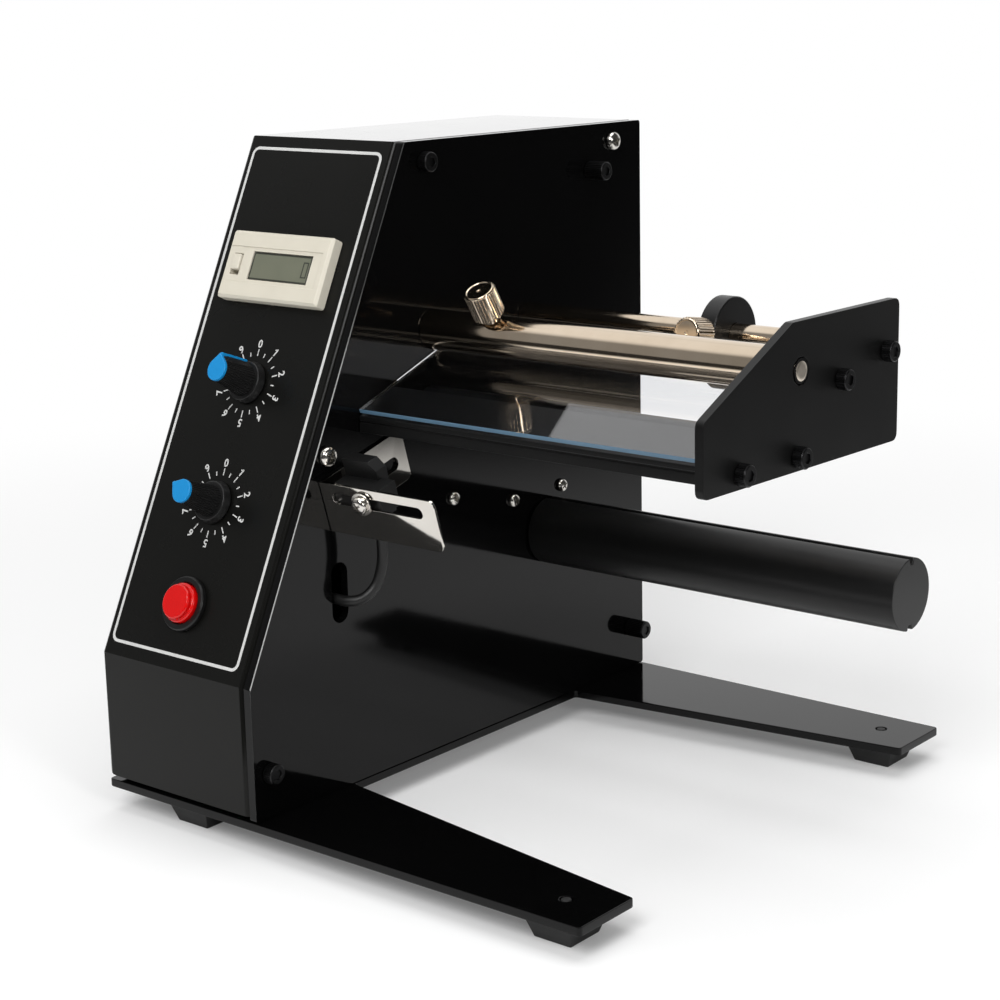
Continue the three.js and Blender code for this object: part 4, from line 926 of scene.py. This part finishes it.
def teardrop(radius, reach, start, end, rib_depth=0.0, top_radius=None, top_reach=None):
    """A column with a round back and a straight-sided nose along Y, which may narrow upwards."""
    sides, at_nose = 144, 1e-3
    bpy.ops.object.select_all(action="DESELECT")
    bpy.ops.mesh.primitive_circle_add(vertices=sides, radius=radius * mm, fill_type="NGON")
    piece = bpy.context.object
    edit(piece, "VERT")
    tangent = math.acos(radius / reach)

    def off_nose(point):
        return abs(math.atan2(point.co.x, point.co.y))

    if rib_depth:
        choose_points(piece, lambda point: point.index % 4 > 1 and off_nose(point) > tangent)
        share = (radius - rib_depth) / radius
        bpy.ops.transform.resize(value=(share, share, 1), center_override=(0, 0, 0))
    choose_points(piece, lambda point: off_nose(point) < at_nose)
    bpy.ops.transform.translate(value=(0, (reach - radius) * mm, 0))
    choose_points(piece, lambda point: at_nose < off_nose(point) < tangent - 0.01)
    bpy.ops.mesh.dissolve_verts()
    bpy.ops.mesh.select_mode(type="FACE")
    bpy.ops.mesh.select_all(action="SELECT")
    bpy.ops.transform.translate(value=(0, 0, start * mm))
    bpy.ops.mesh.extrude_region_move(TRANSFORM_OT_translate={"value": (0, 0, (end - start) * mm)})
    if top_radius:
        share = top_radius / radius
        middle = (start + end) / 2 * mm
        bpy.ops.transform.resize(value=(share, share, 1), center_override=(0, 0, 0))
        bpy.ops.mesh.select_mode(type="VERT")
        choose_points(piece, lambda point: off_nose(point) < at_nose and point.co.z > middle)
        bpy.ops.transform.translate(value=(0, (top_reach - reach * share) * mm, 0))
    bpy.ops.mesh.select_all(action="SELECT")
    bpy.ops.mesh.normals_make_consistent(inside=False)
    leave_edit()
    return piece


def add_knob(dial, up, turn):
    """A skirt and a ribbed column, and a blue cap with its stripe down the nose."""
    where = on_panel(dial_x, up, 0, math.radians(turn))
    back, nose, rib_depth = 5.7, 6.8, 0.26
    top, top_back, top_nose = 15.5, 3.9, 5.7
    skirt = turned([(7.5, 0.8), (7.4, 1.2), (6.9, 3.2), (6.6, 3.5), (6.1, 3.5)], 96)
    soften(skirt, 0.1)
    column = teardrop(back, nose, 2.6, top - 0.3, rib_depth, top_back, top_nose)
    soften(column, 0.08, 1)
    settle_for(dial + "_knob", merge(skirt, column), where)
    cap = teardrop(4.0, top_nose, top, top + 1.3)
    soften(cap, 0.3, 3)
    stripe = block((-0.6, nose - 1.6, 4.2), (0.6, nose + 0.25, top + 0.6))
    edit(stripe, "VERT")
    choose_points(stripe, lambda point: point.co.z > top * mm)
    bpy.ops.transform.translate(value=(0, (top_nose - nose) * mm, 0))
    leave_edit()
    soften(stripe, 0.2)
    stem = turned([(2.5, top - 1.5), (2.5, top + 0.3)], 32)
    settle_for(dial + "_knob_cap", merge(cap, stripe, stem), where)


for dial, (up, turn) in dials.items():
    add_scale(dial + "_scale", up)
    add_knob(dial, up, turn)


# Push button

def add_button():
    where = on_panel(-39.2, 22.2)
    bezel = turned([(9.35, 0.3), (9.35, 1.7), (8.9, 2.3), (7.4, 2.3), (7.1, 2.0), (7.1, -8)], 96)
    soften(bezel, 0.1)
    settle_for("button_bezel", bezel, where)
    cap = turned([(6.8, -5), (6.8, 3.2), (6.4, 3.7), (6.0, 3.7), (6.0, 5.1), (5.5, 5.6)], 96)
    soften(cap, 0.3, 3)
    settle_for("button_cap", cap, where)


add_button()


# Printed frame line round the sloped panel

frame_line = flat_ring(61.9, 180, line=1.05, corner=3)
frame_line.name = "panel_frame_line"
settle(frame_line, on_panel(-38.85, 94.4), white_ink, "chassis")


# Power inlet in the back wall

def add_inlet():
    inlet = turned([(4.5, -14), (4.5, 0.3), (6.5, 0.3), (6.5, 2.0), (6.2, 2.3)], 64)
    carve(inlet, turned([(3.2, -8), (3.2, 3)], 48))
    soften(inlet, 0.12)
    pin = turned([(1.05, -9), (1.05, 0), (0.7, 0.4)], 24)
    pin.name = "inlet_pin"
    soften(pin, 0.1)
    where = place(-52, 214, 26, -math.pi / 2)
    settle(pin, where, finishes["steel"], "chassis")
    settle_for("power_inlet", inlet, where)


add_inlet()


# Floor, lamps and world: white behind the machine, dim in front of it and to its right

def ray_kinds(sheet):
    """Rays that show the picture itself, and rays that a surface reflects."""
    rays = sheet.tree.nodes.new("ShaderNodeLightPath")
    kinds = "Is Camera Ray", "Is Transmission Ray", "Is Glossy Ray"
    seen, bent, mirrored = (Link(sheet, rays.outputs[kind]) for kind in kinds)
    straight = seen + bent
    return straight, mirrored * (1 - straight)


def backdrop(sheet, across, back):
    """The white backdrop behind the machine and to its left, as a surface mirrors it."""
    return sheet.steps(back * 0.8 - across * 0.6, 0.3, 0.75)


def glow(sheet, kind, colour):
    return sheet.node(kind, 0, inputs={"Color": colour, "Strength": 1})


def shaders_mixed(sheet, share, first, second):
    return sheet.node("MixShader", "Shader", inputs={0: share, 1: first, 2: second})


def add_floor():
    bpy.ops.object.select_all(action="DESELECT")
    bpy.ops.mesh.primitive_plane_add(size=60)
    floor = bpy.context.object
    floor.name = "studio_floor"
    finish = Finish(
        "studio_floor", Roughness=0.9, Specular_IOR_Level=0.1, Base_Color=(0.92, 0.92, 0.92))
    straight, reflected = ray_kinds(finish)
    spot = finish.node("TexCoord", "Object")
    distance = finish.node("VectorMath", "Value", {"operation": "LENGTH"}, {0: spot})
    direction = finish.node("VectorMath", "Vector", {"operation": "NORMALIZE"}, {0: spot})
    across, back, _ = finish.parts(direction)
    # Seen straight, the paper turns to plain white with its distance from the machine
    least_white, white_from, white_at = 0.12, 0.25, 0.75
    whiter = least_white + finish.steps(distance, white_from, white_at) * (1 - least_white)
    paper = shaders_mixed(
        finish, straight * whiter, Link(finish, finish.shader.outputs[0]),
        glow(finish, "Emission", (1, 1, 1)))
    # Seen in a gloss surface, the paper ends and the backdrop or the dark room follows
    least_light, paper_from, paper_to = 0.03, 0.36, 0.62
    beyond = shaders_mixed(
        finish, least_light + backdrop(finish, across, back) * (1 - least_light),
        glow(finish, "Emission", (0, 0, 0)), glow(finish, "Emission", (1, 1, 1)))
    surface = shaders_mixed(
        finish, reflected * finish.steps(distance, paper_from, paper_to), paper, beyond)
    finish.plug(finish.tree.nodes["Material Output"].inputs["Surface"], surface)
    floor.data.materials.append(finish.material)


def add_lamp(name, spot, size, power):
    """A softbox that looks at the middle of the machine."""
    aim = Vector((0, 0, 0.1))
    bpy.ops.object.light_add(type="AREA")
    lamp = bpy.context.object
    lamp.name = name
    lamp.data.shape = "RECTANGLE"
    lamp.data.size, lamp.data.size_y = size
    lamp.data.energy = power
    lamp.location = spot
    lamp.rotation_mode = "QUATERNION"
    lamp.rotation_quaternion = (aim - Vector(spot)).to_track_quat("-Z", "Y")
    lamp.visible_camera = False


def add_world():
    world = bpy.data.worlds.new("studio")
    bpy.context.scene.world = world
    world.use_nodes = True
    studio = NodeSheet(world.node_tree)
    straight, reflected = ray_kinds(studio)
    across, back, up = studio.parts(studio.node("TexCoord", "Generated"))
    # The dark room, lighter to the left
    dark, lighter_by = 0.04, 0.24
    room = dark + studio.steps(0 - across, 0.2, 0.6) * lighter_by
    ceiling = studio.steps(up * 0.8 - across * 0.6, 0.74, 0.96)
    white = room.math("MAXIMUM", backdrop(studio, across, back), ceiling)
    mirrored = room.math("MAXIMUM", room, white)
    fill = 0.45
    share = straight + reflected * mirrored + (1 - straight - reflected) * fill
    surface = shaders_mixed(
        studio, share, glow(studio, "Background", (0, 0, 0)), glow(studio, "Background", (1, 1, 1)))
    studio.plug(studio.tree.nodes["World Output"].inputs["Surface"], surface)


add_floor()
add_lamp("key_softbox", (0.4, -1.3, 1.3), (0.8, 0.8), 18)
add_lamp("side_strip", (1.41, -0.5, 0.66), (0.3, 0.5), 5)
add_lamp("top_softbox", (0.0, 0.1, 1.6), (1.2, 1.2), 10)
add_world()
bpy.context.scene.view_settings.view_transform = "Standard"
